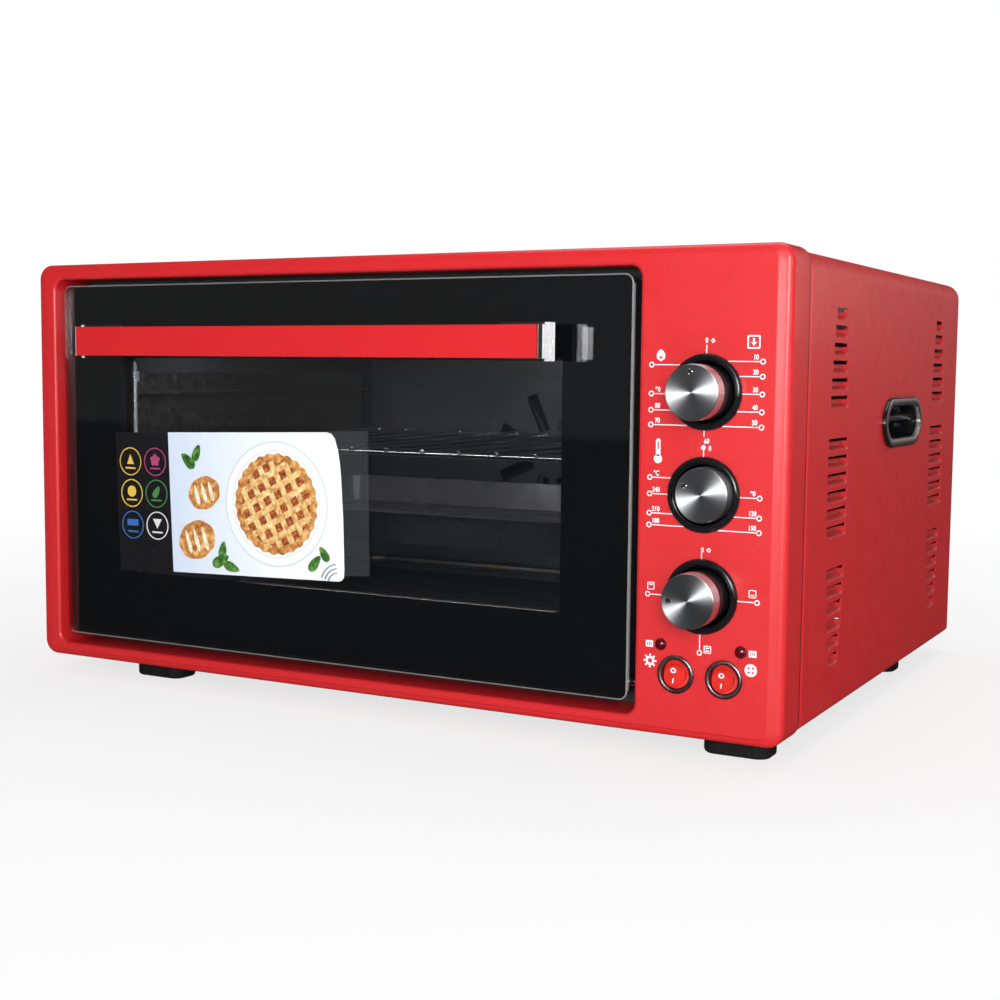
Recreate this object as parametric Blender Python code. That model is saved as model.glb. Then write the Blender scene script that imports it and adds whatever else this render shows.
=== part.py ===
"""A table-top electric oven as separate pieces: casing, door, controls and the parts inside.

Metres, +Z up. The front faces -Y and X points to the viewer's right. The origin lies under the middle of the
oven's box, on the surface that the feet stand on.
"""
import math

import bmesh
import bpy
from mathutils import Matrix, Vector

# Sizes of the front frame, the pressed sheet that holds the door opening and the control panel
FRAME_WIDTH = 0.600
FRAME_HEIGHT = 0.300
FRAME_DEPTH = 0.035
FRAME_CORNER = 0.011
FRAME_EDGE = 0.007
SHEET = 0.0012
GAP = 0.0003
CLEARANCE = 0.0015
OVERRUN = 0.003

# The door opening in it
BORDER_LEFT = 0.018
BORDER_TOP = 0.010
BORDER_BOTTOM = 0.0105
PANEL_WIDTH = 0.096
OPENING_CORNER = 0.008
OPENING_EDGE = 0.0025
OPENING_DEPTH = FRAME_DEPTH - GAP

# The body behind the frame
BODY_DEPTH = 0.461
COVER_INSET = 0.001
COVER_LIFT = 0.005
COVER_BEND = 0.013
COVER_REAR_EDGE = 0.006
REAR_RIM = 0.012
FOOT_HEIGHT = 0.013

# What stands out in front and behind
HANDLE_REACH = 0.026
GLAND_PROUD = 0.006

# The door
DOOR_GAP_LEFT = 0.0028
DOOR_GAP_RIGHT = 0.008
DOOR_GAP_TOP = 0.0045
DOOR_GAP_BOTTOM = 0.007
GLASS_SET_BACK = 0.007
GLASS_THICKNESS = 0.004
GLASS_CORNER = 0.006
DOOR_FRAME_INSET = 0.0015
DOOR_FRAME_DEPTH = 0.0165
WINDOW_LEFT = 0.045
WINDOW_RIGHT = 0.042
WINDOW_TOP = 0.050
WINDOW_BOTTOM = 0.044
WINDOW_CORNER = 0.006
INNER_GLASS_THICKNESS = 0.003
INNER_GLASS_OVERLAP = 0.008
INNER_PANEL_LIP = 0.004
SEAL_WIDTH = 0.006
SEAL_THICKNESS = 0.003
HINGE_SET_BACK = 0.018
HINGE_HEIGHT = 0.028
HINGE_PIN_RADIUS = 0.003
HINGE_BRACKET_LENGTH = 0.007
HINGE_BRACKET_DEPTH = 0.014
HINGE_BRACKET_HEIGHT = 0.018
ARM_RADIUS = 0.060
ARM_WIDTH = 0.008
ARM_THICKNESS = 0.002
ARM_SWEEP = math.radians(90)
ARM_STEPS = 12

# The handle, placed from the glass's edges
HANDLE_HEIGHT = 0.021
HANDLE_DEPTH = 0.009
HANDLE_EDGE = 0.0008
HANDLE_FROM_LEFT = 0.0395
HANDLE_FROM_RIGHT = 0.0457
HANDLE_FROM_TOP = 0.0425
BRACKET_PLATE = 0.004
BRACKET_LENGTH = 0.035
BRACKET_DEPTH = 0.009
BRACKET_HEIGHT = 0.024
SPACER_RADIUS = 0.0065

# The oven's inside
CAVITY_FROM_LEFT = 0.026
CAVITY_FROM_RIGHT = 0.030
CAVITY_FROM_TOP = 0.021
CAVITY_FROM_BOTTOM = 0.0165
CAVITY_DEPTH = 0.363
CAVITY_CORNER = 0.010
LINER = 0.001
FLANGE_OVERLAP = 0.001
RACK_LEVELS = 4
RACK_FIRST_SHARE = 0.219
RACK_PITCH_SHARE = 0.1722
UNDER_RACK_LEVELS = 2
UNDER_TRAY_LEVELS = 1
GUIDE_THICKNESS = 0.0015
GUIDE_LEDGE = 0.009
GUIDE_LEDGE_THICKNESS = 0.002
GUIDE_FRONT = 0.012
GUIDE_LENGTH = 0.330
GUIDE_LOWER_END = 0.015
RACK_FRONT_ROOM = 0.012
RACK_LENGTH = 0.316
RACK_WIRE = 0.003
RACK_EDGE_WIRE = 0.006
RACK_WIRES = 13
TRAY_LENGTH = 0.306
TRAY_DEPTH = 0.022
TRAY_SHEET = 0.001
TRAY_TAPER = 0.006
TRAY_CORNER = 0.018
HEATER_RADIUS = 0.0033
HEATER_BEND = 0.020
HEATER_FROM_WALL = 0.023
HEATER_FROM_LEFT = 0.060
HEATER_FRONT = 0.070
HEATER_SPAN = 0.200
HEATER_END = 0.016
HEATER_HOLE = 0.0036

# The fan at the back of the cavity
FAN_HEIGHT_SHARE = 0.5
FAN_RADIUS = 0.056
FAN_HUB = 0.011
FAN_BLADES = 6
FAN_BLADE = 0.0024
FAN_BLADE_LENGTH = 0.014
FAN_FROM_WALL = 0.005
FAN_SHAFT_RADIUS = 0.003
FAN_SHAFT_LENGTH = 0.016
GUARD_RADIUS = 0.070
GUARD_DEPTH = 0.025
GUARD_SLOTS = 8
GUARD_SLOT_WIDTH = 0.011
GUARD_SLOT_INNER = 0.022
GUARD_SLOT_OUTER = 0.058
MOTOR_RADIUS = 0.028
MOTOR_LENGTH = 0.034
MOTOR_BORE_DEPTH = 0.014
LAMP_RADIUS = 0.015
LAMP_NECK = 0.010
LAMP_PROUD = 0.016
LAMP_SOCKET = 0.026
LAMP_FROM_RIGHT = 0.055
LAMP_FROM_TOP = 0.045

# The controls on the panel
CONTROL_FROM_RIGHT = 0.0525
TIMER_HEIGHT_SHARE = 0.7107
KNOB_PITCH_SHARE = 0.2067
BEZEL_RADIUS = 0.0232
BEZEL_LIP = 0.003
BEZEL_CHAMFER = 0.0012
SLEEVE_RADIUS = 0.0205
KNOB_WELL = 0.0185
WELL_FLOOR = 0.0015
WELL_DEPTH = 0.028
KNOB_RADIUS = 0.0170
KNOB_OUT = 0.024
KNOB_TRAVEL = 0.019
KNOB_LENGTH = 0.0295
KNOB_ROUND = 0.001
CAP_RADIUS = 0.0167
CAP_THICKNESS = 0.0014
SHAFT_RADIUS = 0.003
SHAFT_HOLE = 0.0033
SHAFT_SEAT = 0.008
BRACKET_SHEET = 0.0012
BRACKET_MARGIN = 0.012
TIMER_RADIUS = 0.023
TIMER_LENGTH = 0.034
THERMOSTAT_WIDTH = 0.042
THERMOSTAT_LENGTH = 0.022
SELECTOR_RADIUS = 0.020
SELECTOR_LENGTH = 0.030
LAMP_LENS_SPREAD = 0.0259
LAMP_HEIGHT_SHARE = 0.1917
LENS_RADIUS = 0.0038
LENS_PROUD = 0.003
LENS_STEM = 0.0032
LENS_ROUND = 0.0006
LENS_LENGTH = 0.012
SWITCH_SPREAD = 0.0156
SWITCH_HEIGHT_SHARE = 0.1323
SWITCH_RADIUS = 0.01185
SWITCH_LIP = 0.002
SWITCH_EDGE = 0.0007
SWITCH_BARREL = 0.0104
SWITCH_WELL = 0.0095
SWITCH_WELL_DEPTH = 0.008
SWITCH_LENGTH = 0.018
ROCKER_RADIUS = 0.0087
ROCKER_PIVOT = 0.0015
ROCKER_BACK = 0.0022
ROCKER_VALLEY = 0.0022
ROCKER_TIP = 0.0046
ROCKER_TILT = math.radians(7)

# The casing's other details
GRIP_SET_BACK = 0.270
GRIP_HEIGHT_SHARE = 0.6317
GRIP_LENGTH = 0.110
GRIP_OPENING = 0.036
GRIP_FLANGE = 0.006
GRIP_PROUD = 0.0009
GRIP_DEPTH = 0.024
GRIP_WALL = 0.0018
GRIP_BOW = 0.005
LOUVRE_ROWS = 6
LOUVRE_PITCH = 0.0113
LOUVRE_HEIGHT = 0.008
LOUVRE_SLOT = 0.0032
LOUVRE_LONG = 0.046
LOUVRE_SHORT = 0.023
LOUVRE_SET_BACKS = (0.107, 0.388)
LOUVRE_GROUP_SHARES = (0.783, 0.5033, 0.222)
FOOT_LENGTH = 0.044
FOOT_WIDTH = 0.026
FOOT_CORNER = 0.009
FOOT_TAPER = 0.002
FOOT_FRONT = 0.020
FOOT_LEFT = 0.075
FOOT_RIGHT = 0.015
REAR_FOOT_SET_BACK = 0.345
REAR_FOOT_FROM_SIDE = 0.038
GLAND_RADIUS = 0.009
GLAND_FLANGE = 0.013
GLAND_BORE = 0.004
GLAND_LENGTH = 0.016
GLAND_FROM_RIGHT = 0.060
GLAND_HEIGHT = 0.045
VENT_SLOTS = 7
VENT_LENGTH = 0.060
VENT_WIDTH = 0.004
VENT_PITCH = 0.014

# Smoothness of round shapes
CORNER_STEPS = 4
EDGE_STEPS = 3
ROUND_STEPS = 24
SMALL_STEPS = 16
FEW_STEPS = 2
SMOOTH_ANGLE = math.radians(35)

# Places worked out from the sizes
TOTAL_DEPTH = HANDLE_REACH + BODY_DEPTH + GLAND_PROUD
FRONT_Y = HANDLE_REACH - TOTAL_DEPTH / 2
FRAME_LEFT = -FRAME_WIDTH / 2
FRAME_RIGHT = FRAME_WIDTH / 2
OPEN_LEFT = FRAME_LEFT + BORDER_LEFT
OPEN_RIGHT = FRAME_RIGHT - PANEL_WIDTH
OPEN_BOTTOM = FOOT_HEIGHT + BORDER_BOTTOM
OPEN_TOP = FOOT_HEIGHT + FRAME_HEIGHT - BORDER_TOP
GLASS_BOX = (OPEN_LEFT + DOOR_GAP_LEFT, OPEN_RIGHT - DOOR_GAP_RIGHT,
             OPEN_BOTTOM + DOOR_GAP_BOTTOM, OPEN_TOP - DOOR_GAP_TOP)
CAVITY_BOX = (OPEN_LEFT + CAVITY_FROM_LEFT, OPEN_RIGHT - CAVITY_FROM_RIGHT,
              OPEN_BOTTOM + CAVITY_FROM_BOTTOM, OPEN_TOP - CAVITY_FROM_TOP)
CAVITY_HEIGHT = CAVITY_BOX[3] - CAVITY_BOX[2]
CONTROL_X = FRAME_RIGHT - CONTROL_FROM_RIGHT
TIMER_HEIGHT = FRAME_HEIGHT * TIMER_HEIGHT_SHARE
THERMOSTAT_HEIGHT = TIMER_HEIGHT - FRAME_HEIGHT * KNOB_PITCH_SHARE
SELECTOR_HEIGHT = THERMOSTAT_HEIGHT - FRAME_HEIGHT * KNOB_PITCH_SHARE
LAMP_LENS_HEIGHT = FRAME_HEIGHT * LAMP_HEIGHT_SHARE
SWITCH_HEIGHT = FRAME_HEIGHT * SWITCH_HEIGHT_SHARE


def depth(distance):
    """The Y of a point this far behind the frame's front face."""
    return FRONT_Y + distance


def height(distance):
    """The Z of a point this far above the frame's lower edge."""
    return FOOT_HEIGHT + distance


CAVITY_BACK = depth(FRAME_DEPTH + CAVITY_DEPTH)
HINGE_Y = depth(HINGE_SET_BACK)
HINGE_Z = height(HINGE_HEIGHT)
DOOR_FRAME_FRONT = depth(GLASS_SET_BACK + GLASS_THICKNESS + GAP)
DOOR_FRAME_BACK = DOOR_FRAME_FRONT + DOOR_FRAME_DEPTH
INNER_PANEL_FRONT = DOOR_FRAME_BACK + GAP
INNER_PANEL_BACK = INNER_PANEL_FRONT + LINER
MECHANISM_FRONT = depth(WELL_DEPTH + GAP + BRACKET_SHEET + GAP)
FAN_X = (CAVITY_BOX[0] + CAVITY_BOX[1]) / 2
FAN_Z = CAVITY_BOX[2] + CAVITY_HEIGHT * FAN_HEIGHT_SHARE
GUARD_BACK = CAVITY_BACK - GAP
RACK_BOX = (CAVITY_BOX[0] + GUIDE_THICKNESS + GAP + CLEARANCE,
            CAVITY_BOX[1] - GUIDE_THICKNESS - GAP - CLEARANCE)


def clear_scene():
    for item in list(bpy.data.objects):
        bpy.data.objects.remove(item, do_unlink=True)


def make_material(name, colour, roughness, metallic=0.0):
    """A Principled material with one colour."""
    material = bpy.data.materials.new(name)
    material.use_nodes = True
    shader = material.node_tree.nodes["Principled BSDF"]
    shader.inputs["Base Color"].default_value = (*colour, 1.0)
    shader.inputs["Roughness"].default_value = roughness
    shader.inputs["Metallic"].default_value = metallic
    return material


def new_piece(name, mesh_data, material, origin=None):
    """Link a piece built in world places; its origin moves to the given point."""
    mesh = bpy.data.meshes.new(name)
    bmesh.ops.recalc_face_normals(mesh_data, faces=mesh_data.faces)
    mesh_data.to_mesh(mesh)
    mesh_data.free()
    if origin is None:
        corners = [vertex.co for vertex in mesh.vertices]
        origin = sum(corners, Vector()) / len(corners)
    origin = Vector(origin)
    mesh.transform(Matrix.Translation(-origin))
    mesh.shade_smooth()
    mesh.set_sharp_from_angle(angle=SMOOTH_ANGLE)
    mesh.materials.append(material)
    piece = bpy.data.objects.new(name, mesh)
    piece.location = origin
    bpy.context.scene.collection.objects.link(piece)
    return piece


def thicken(piece, thickness):
    """Give an open sheet its thickness, inwards from its outer face."""
    solidify = piece.modifiers.new("Sheet", "SOLIDIFY")
    solidify.thickness = thickness
    solidify.offset = -1
    solidify.use_even_offset = True
    return piece


def combine(piece, tool, operation):
    """Cut a hidden tool from a piece, or join it on."""
    tool.hide_render = True
    tool.display_type = "WIRE"
    boolean = piece.modifiers.new(tool.name, "BOOLEAN")
    boolean.object = tool
    boolean.operation = operation
    boolean.solver = "EXACT"
    return piece


def rounded_box(left, right, low, high, radius, steps=CORNER_STEPS):
    """Points of a rectangle with round corners, anticlockwise from its lower right corner."""
    centres = ((right - radius, low + radius, -math.pi / 2), (right - radius, high - radius, 0),
               (left + radius, high - radius, math.pi / 2), (left + radius, low + radius, math.pi))
    points = []
    for across, up, start in centres:
        for step in range(steps + 1):
            angle = start + step / steps * math.pi / 2
            points.append((across + radius * math.cos(angle), up + radius * math.sin(angle)))
    return points


def inset_box(box, inset, radius, steps=CORNER_STEPS):
    """The outline of a box (left, right, low, high) drawn in by inset on every side."""
    return rounded_box(box[0] + inset, box[1] - inset, box[2] + inset, box[3] - inset, radius, steps)


def circle(across, up, radius, steps=ROUND_STEPS):
    """Points of a circle round a centre."""
    turns = [step / steps * math.tau for step in range(steps)]
    return [(across + radius * math.cos(turn), up + radius * math.sin(turn)) for turn in turns]


def along_y(point, level):
    return Vector((point[0], level, point[1]))


def along_x(point, level):
    return Vector((level, point[0], point[1]))


def along_z(point, level):
    return Vector((point[0], point[1], level))


def add_ring(mesh, points, level, place=along_y):
    """Add the vertices of a closed outline at one level."""
    return [mesh.verts.new(place(point, level)) for point in points]


def bridge(mesh, first, second):
    """Faces between two outlines with the same number of points."""
    count = len(first)
    for index in range(count):
        after = (index + 1) % count
        mesh.faces.new((first[index], first[after], second[after], second[index]))


def loop_edges(mesh, ring):
    edges = []
    for index, vertex in enumerate(ring):
        other = ring[(index + 1) % len(ring)]
        edge = mesh.edges.get((vertex, other))
        edges.append(edge if edge else mesh.edges.new((vertex, other)))
    return edges


def fill_between(mesh, rings):
    """A flat face with holes, filled with triangles between outlines."""
    edges = [edge for ring in rings for edge in loop_edges(mesh, ring)]
    bmesh.ops.triangle_fill(mesh, use_beauty=True, use_dissolve=False, edges=edges)


def prism(outline, start, end, place=along_y, holes=()):
    """A closed solid: an outline with holes, pulled from one level to another."""
    mesh = bmesh.new()
    first = [add_ring(mesh, points, start, place) for points in (outline, *holes)]
    last = [add_ring(mesh, points, end, place) for points in (outline, *holes)]
    for ring, other in zip(first, last):
        bridge(mesh, ring, other)
    fill_between(mesh, first)
    fill_between(mesh, last)
    return mesh


def stack(levels, place=along_y):
    """A closed solid through outlines at several levels, with flat ends."""
    mesh = bmesh.new()
    rings = [add_ring(mesh, points, level, place) for points, level in levels]
    for ring, other in zip(rings, rings[1:]):
        bridge(mesh, ring, other)
    mesh.faces.new(rings[0])
    mesh.faces.new(list(reversed(rings[-1])))
    return mesh


def turned(profile, centre, steps=ROUND_STEPS):
    """A solid turned about Y from (radius, distance behind the frame) points; radius 0 closes it."""
    mesh = bmesh.new()
    rings = []
    for radius, distance in profile:
        if radius:
            rings.append(add_ring(mesh, circle(*centre, radius, steps), depth(distance)))
        else:
            rings.append([mesh.verts.new((centre[0], depth(distance), centre[1]))])
    pairs = list(zip(rings, rings[1:]))
    if profile[0][0] and profile[-1][0]:
        pairs.append((rings[-1], rings[0]))
    for ring, other in pairs:
        if len(ring) > 1 and len(other) > 1:
            bridge(mesh, ring, other)
        elif len(ring) + len(other) > 2:
            pole, rim = (ring[0], other) if len(ring) == 1 else (other[0], ring)
            for index, vertex in enumerate(rim):
                mesh.faces.new((pole, vertex, rim[(index + 1) % len(rim)]))
    return mesh


def block(low, high):
    """A plain rectangular solid between two corners."""
    outline = ((low[0], low[2]), (high[0], low[2]), (high[0], high[2]), (low[0], high[2]))
    return prism(outline, low[1], high[1])


def join_meshes(meshes):
    """One mesh with the bodies of several."""
    joined = bmesh.new()
    for mesh in meshes:
        bmesh.ops.recalc_face_normals(mesh, faces=mesh.faces)
        data = bpy.data.meshes.new("joined")
        mesh.to_mesh(data)
        mesh.free()
        joined.from_mesh(data)
        bpy.data.meshes.remove(data)
    return joined


def edge_levels(box, corner, edge, front, outwards):
    """Outlines round a folded edge: from the flat front, round the bend, to the straight wall."""
    levels = []
    for step in range(EDGE_STEPS + 1):
        angle = step / EDGE_STEPS * math.pi / 2
        inset = edge * (1 - math.sin(angle))
        drop = edge * (1 - math.cos(angle))
        shift = inset if outwards else -inset
        radius = corner - shift
        levels.append((inset_box(box, shift, radius), front + drop))
    return levels


def face_front(mesh):
    """Turn an open sheet so that its flat front looks towards -Y."""
    bmesh.ops.recalc_face_normals(mesh, faces=mesh.faces)
    front = max(mesh.faces, key=lambda face: face.calc_area() * abs(face.normal.y))
    if front.normal.y > 0:
        bmesh.ops.reverse_faces(mesh, faces=mesh.faces)


def sheet_piece(name, mesh, material, thickness):
    """An open sheet, facing the way it was built, with its thickness added inwards."""
    data = bpy.data.meshes.new(name)
    mesh.to_mesh(data)
    mesh.free()
    corners = [vertex.co for vertex in data.vertices]
    origin = sum(corners, Vector()) / len(corners)
    data.transform(Matrix.Translation(-origin))
    data.shade_smooth()
    data.set_sharp_from_angle(angle=SMOOTH_ANGLE)
    data.materials.append(material)
    piece = bpy.data.objects.new(name, data)
    piece.location = origin
    bpy.context.scene.collection.objects.link(piece)
    return thicken(piece, thickness)


def panel_holes():
    """Outlines of the holes for the bezels, lamp lenses and switches."""
    holes = [circle(CONTROL_X, height(up), SLEEVE_RADIUS + GAP, ROUND_STEPS)
             for up in (TIMER_HEIGHT, THERMOSTAT_HEIGHT, SELECTOR_HEIGHT)]
    for side in (-1, 1):
        lens_x = CONTROL_X + side * LAMP_LENS_SPREAD
        switch_x = CONTROL_X + side * SWITCH_SPREAD
        holes.append(circle(lens_x, height(LAMP_LENS_HEIGHT), LENS_STEM + GAP, SMALL_STEPS))
        holes.append(circle(switch_x, height(SWITCH_HEIGHT), SWITCH_BARREL + GAP, ROUND_STEPS))
    return holes


def front_frame(paint):
    """The pressed frame: outer flange, front face with its holes, and the opening's inner wall."""
    outer_box = (FRAME_LEFT, FRAME_RIGHT, FOOT_HEIGHT, FOOT_HEIGHT + FRAME_HEIGHT)
    open_box = (OPEN_LEFT, OPEN_RIGHT, OPEN_BOTTOM, OPEN_TOP)
    mesh = bmesh.new()
    faces = []
    for box, corner, edge, deep, outwards in (
            (outer_box, FRAME_CORNER, FRAME_EDGE, FRAME_DEPTH, True),
            (open_box, OPENING_CORNER, OPENING_EDGE, OPENING_DEPTH, False)):
        levels = edge_levels(box, corner, edge, depth(0), outwards)
        levels.append((inset_box(box, 0, corner), depth(deep)))
        rings = [add_ring(mesh, points, level) for points, level in levels]
        for ring, other in zip(rings, rings[1:]):
            bridge(mesh, ring, other)
        faces.append(rings[0])
    faces += [add_ring(mesh, points, depth(0)) for points in panel_holes()]
    fill_between(mesh, faces)
    face_front(mesh)
    piece = sheet_piece("front_frame", mesh, paint, SHEET)
    reach = HINGE_PIN_RADIUS + GAP
    pins = [prism(circle(HINGE_Y, HINGE_Z, reach, SMALL_STEPS), wall - OVERRUN, wall + OVERRUN, along_x)
            for wall in (OPEN_LEFT, OPEN_RIGHT)]
    return combine(piece, new_piece("pin_holes", join_meshes(pins), paint), "DIFFERENCE")


def cover_outline(inset):
    """The cover's section, open below: all four corners bent, the lower two into short flanges."""
    left = FRAME_LEFT + COVER_INSET + inset
    right = FRAME_RIGHT - COVER_INSET - inset
    top = FOOT_HEIGHT + FRAME_HEIGHT - COVER_INSET - inset
    bottom = FOOT_HEIGHT + COVER_LIFT + inset
    return rounded_box(left, right, bottom, top, COVER_BEND - inset)


def louvre_rows():
    """Height and width of each louvre in a column: short at both ends of it, long in the middle."""
    shifts = [(row - (LOUVRE_ROWS - 1) / 2) * LOUVRE_PITCH for row in range(LOUVRE_ROWS)]
    rows = [height(FRAME_HEIGHT * share) + shift for share in LOUVRE_GROUP_SHARES for shift in shifts]
    middle = (max(rows) + min(rows)) / 2
    for row in rows:
        away = (row - middle) / (max(rows) - middle)
        yield row, LOUVRE_LONG - (LOUVRE_LONG - LOUVRE_SHORT) * away * away


def side_cuts():
    """Openings through both sides of the cover: each louvre's slit, over its flap, and the grip's."""
    cuts = []
    for wall in (FRAME_LEFT + COVER_INSET, FRAME_RIGHT - COVER_INSET):
        for set_back in LOUVRE_SET_BACKS:
            for row, width in louvre_rows():
                low = row + LOUVRE_HEIGHT / 2 - LOUVRE_SLOT
                corner = Vector((wall - OVERRUN, depth(set_back) - width / 2, low))
                cuts.append(block(corner, corner + Vector((2 * OVERRUN, width, LOUVRE_SLOT))))
        outline = grip_outline(GRIP_WALL + GAP)
        cuts.append(prism(outline, wall - OVERRUN, wall + OVERRUN, along_x))
    return join_meshes(cuts)


def outer_cover(paint):
    """One sheet over the top and both sides, its rear edge rolled inwards."""
    levels = [(0.0, depth(FRAME_DEPTH) + GAP)]
    for step in range(EDGE_STEPS + 1):
        angle = step / EDGE_STEPS * math.pi / 2
        inset = COVER_REAR_EDGE * (1 - math.cos(angle))
        levels.append((inset, depth(BODY_DEPTH) - COVER_REAR_EDGE * (1 - math.sin(angle))))
    mesh = bmesh.new()
    rows = [[mesh.verts.new(along_y(point, level)) for point in cover_outline(inset)]
            for inset, level in levels]
    rim = [mesh.verts.new(along_y(point, depth(BODY_DEPTH))) for point in rim_outline()]
    rows.append(rim)
    for row, other in zip(rows, rows[1:]):
        for index in range(len(row) - 1):
            mesh.faces.new((row[index], row[index + 1], other[index + 1], other[index]))
    bmesh.ops.recalc_face_normals(mesh, faces=mesh.faces)
    top = max(mesh.faces, key=lambda face: face.calc_area() * abs(face.normal.z))
    if top.normal.z < 0:
        bmesh.ops.reverse_faces(mesh, faces=mesh.faces)
    piece = sheet_piece("outer_cover", mesh, paint, SHEET)
    return combine(piece, new_piece("side_cuts", side_cuts(), paint), "DIFFERENCE")


def rim_outline():
    """The inner edge of the cover's rear rim, as many points as its section."""
    outline = cover_outline(COVER_REAR_EDGE)
    left = min(point[0] for point in outline) + REAR_RIM
    right = max(point[0] for point in outline) - REAR_RIM
    top = max(point[1] for point in outline) - REAR_RIM
    return [(min(max(x, left), right), min(z, top)) for x, z in outline]


def flange_end():
    """How far from the middle the cover's lower flanges end."""
    return FRAME_WIDTH / 2 - COVER_INSET - COVER_BEND


def rear_panel(steel):
    """The flat back, inside the cover's rear rim, down to the base plate, with vents and the gland's hole."""
    face = depth(BODY_DEPTH) - SHEET - GAP
    side = COVER_INSET + COVER_REAR_EDGE
    outline = rounded_box(FRAME_LEFT + side, FRAME_RIGHT - side, height(COVER_LIFT) + COVER_REAR_EDGE,
                          height(FRAME_HEIGHT) - side, COVER_BEND - COVER_REAR_EDGE)
    low = height(COVER_LIFT) + SHEET + GAP
    reach = flange_end() - GAP
    outline += [(-reach, outline[-1][1]), (-reach, low), (reach, low), (reach, outline[-1][1])]
    holes = [circle(gland_x(), height(GLAND_HEIGHT), GLAND_RADIUS + GAP, SMALL_STEPS)]
    for slot in range(VENT_SLOTS):
        low = FAN_Z + (slot - (VENT_SLOTS - 1) / 2) * VENT_PITCH - VENT_WIDTH / 2
        holes.append(rounded_box(FAN_X - VENT_LENGTH / 2, FAN_X + VENT_LENGTH / 2, low, low + VENT_WIDTH,
                                 VENT_WIDTH / 2 - GAP, 1))
    return new_piece("rear_panel", prism(outline, face - SHEET, face, along_y, holes), steel)


def gland_x():
    return FRAME_RIGHT - GLAND_FROM_RIGHT


def base_plate(steel):
    """The flat bottom between the cover's lower flanges."""
    reach = flange_end() - GAP
    low = height(COVER_LIFT)
    front = depth(FRAME_DEPTH) + GAP
    back = depth(BODY_DEPTH) - COVER_REAR_EDGE
    outline = ((-reach, front), (reach, front), (reach, back), (-reach, back))
    return new_piece("base_plate", prism(outline, low, low + SHEET, along_z), steel)


def feet(rubber):
    """Four black feet: two under the frame, two under the base plate."""
    rear = (FOOT_HEIGHT + COVER_LIFT - GAP, REAR_FOOT_SET_BACK - FOOT_WIDTH / 2)
    front = (FOOT_HEIGHT - GAP, FOOT_FRONT)
    side = FRAME_WIDTH / 2 - REAR_FOOT_FROM_SIDE
    places = (("front_foot_left", FRAME_LEFT + FOOT_LEFT + FOOT_LENGTH / 2, front),
              ("front_foot_right", FRAME_RIGHT - FOOT_RIGHT - FOOT_LENGTH / 2, front),
              ("rear_foot_left", -side, rear), ("rear_foot_right", side, rear))
    for name, middle, (top, start) in places:
        box = (middle - FOOT_LENGTH / 2, middle + FOOT_LENGTH / 2, depth(start), depth(start) + FOOT_WIDTH)
        levels = ((inset_box(box, FOOT_TAPER, FOOT_CORNER - FOOT_TAPER), 0.0),
                  (inset_box(box, 0, FOOT_CORNER), FOOT_TAPER), (inset_box(box, 0, FOOT_CORNER), top))
        new_piece(name, stack(levels, along_z), rubber)


def grip_outline(margin):
    """The side grip's opening in (Y, Z): straight top and bottom, bowed ends."""
    half = GRIP_LENGTH / 2 - GRIP_FLANGE + margin
    rise = GRIP_OPENING / 2 - GRIP_FLANGE + margin
    middle = (depth(GRIP_SET_BACK), height(FRAME_HEIGHT * GRIP_HEIGHT_SHARE))
    points = []
    for side in (1, -1):
        for step in range(CORNER_STEPS + 1):
            share = 2 * step / CORNER_STEPS - 1
            bow = GRIP_BOW * (1 - share * share)
            points.append((middle[0] + side * (half - GRIP_BOW + bow), middle[1] + side * share * rise))
    return points


def side_grips(plastic):
    """A recessed cup in each side with a rim outside."""
    for name, side in (("side_grip_left", -1), ("side_grip_right", 1)):
        wall = side * (FRAME_WIDTH / 2 - COVER_INSET)
        rim = wall + side * GAP
        face = wall + side * GRIP_PROUD
        floor = wall - side * GRIP_DEPTH
        inner = floor + side * GRIP_WALL
        mesh = bmesh.new()
        levels = ((grip_outline(0), face), (grip_outline(GRIP_FLANGE), face),
                  (grip_outline(GRIP_FLANGE), rim), (grip_outline(GRIP_WALL), rim),
                  (grip_outline(GRIP_WALL), floor))
        rings = [add_ring(mesh, points, level, along_x) for points, level in levels]
        well = add_ring(mesh, grip_outline(0), inner, along_x)
        for ring, other in zip([well, *rings], rings):
            bridge(mesh, ring, other)
        mesh.faces.new(rings[-1])
        mesh.faces.new(well)
        new_piece(name, mesh, plastic)


def cord_gland(plastic):
    """The inlet for the mains lead: a flanged bush through the rear panel."""
    back = BODY_DEPTH - SHEET - GAP
    profile = ((GLAND_BORE, back + GLAND_PROUD + SHEET + GAP), (GLAND_RADIUS, back + GLAND_PROUD + SHEET + GAP),
               (GLAND_FLANGE, back + GAP + SHEET), (GLAND_FLANGE, back + GAP),
               (GLAND_RADIUS, back + GAP), (GLAND_RADIUS, back - GLAND_LENGTH),
               (GLAND_BORE, back - GLAND_LENGTH))
    new_piece("cord_gland", turned(profile, (gland_x(), height(GLAND_HEIGHT)), SMALL_STEPS), plastic)


def arm_places():
    """The X of each hinge arm's middle: beside the cavity's mouth."""
    beside = (CAVITY_BOX[0] + GLASS_BOX[0]) / 2
    return (("left", beside), ("right", CAVITY_BOX[1] + CAVITY_BOX[0] - beside))


def heater_levels():
    return (("heater_bottom", CAVITY_BOX[2] + HEATER_FROM_WALL),
            ("heater_top", CAVITY_BOX[3] - HEATER_FROM_WALL))


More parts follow.
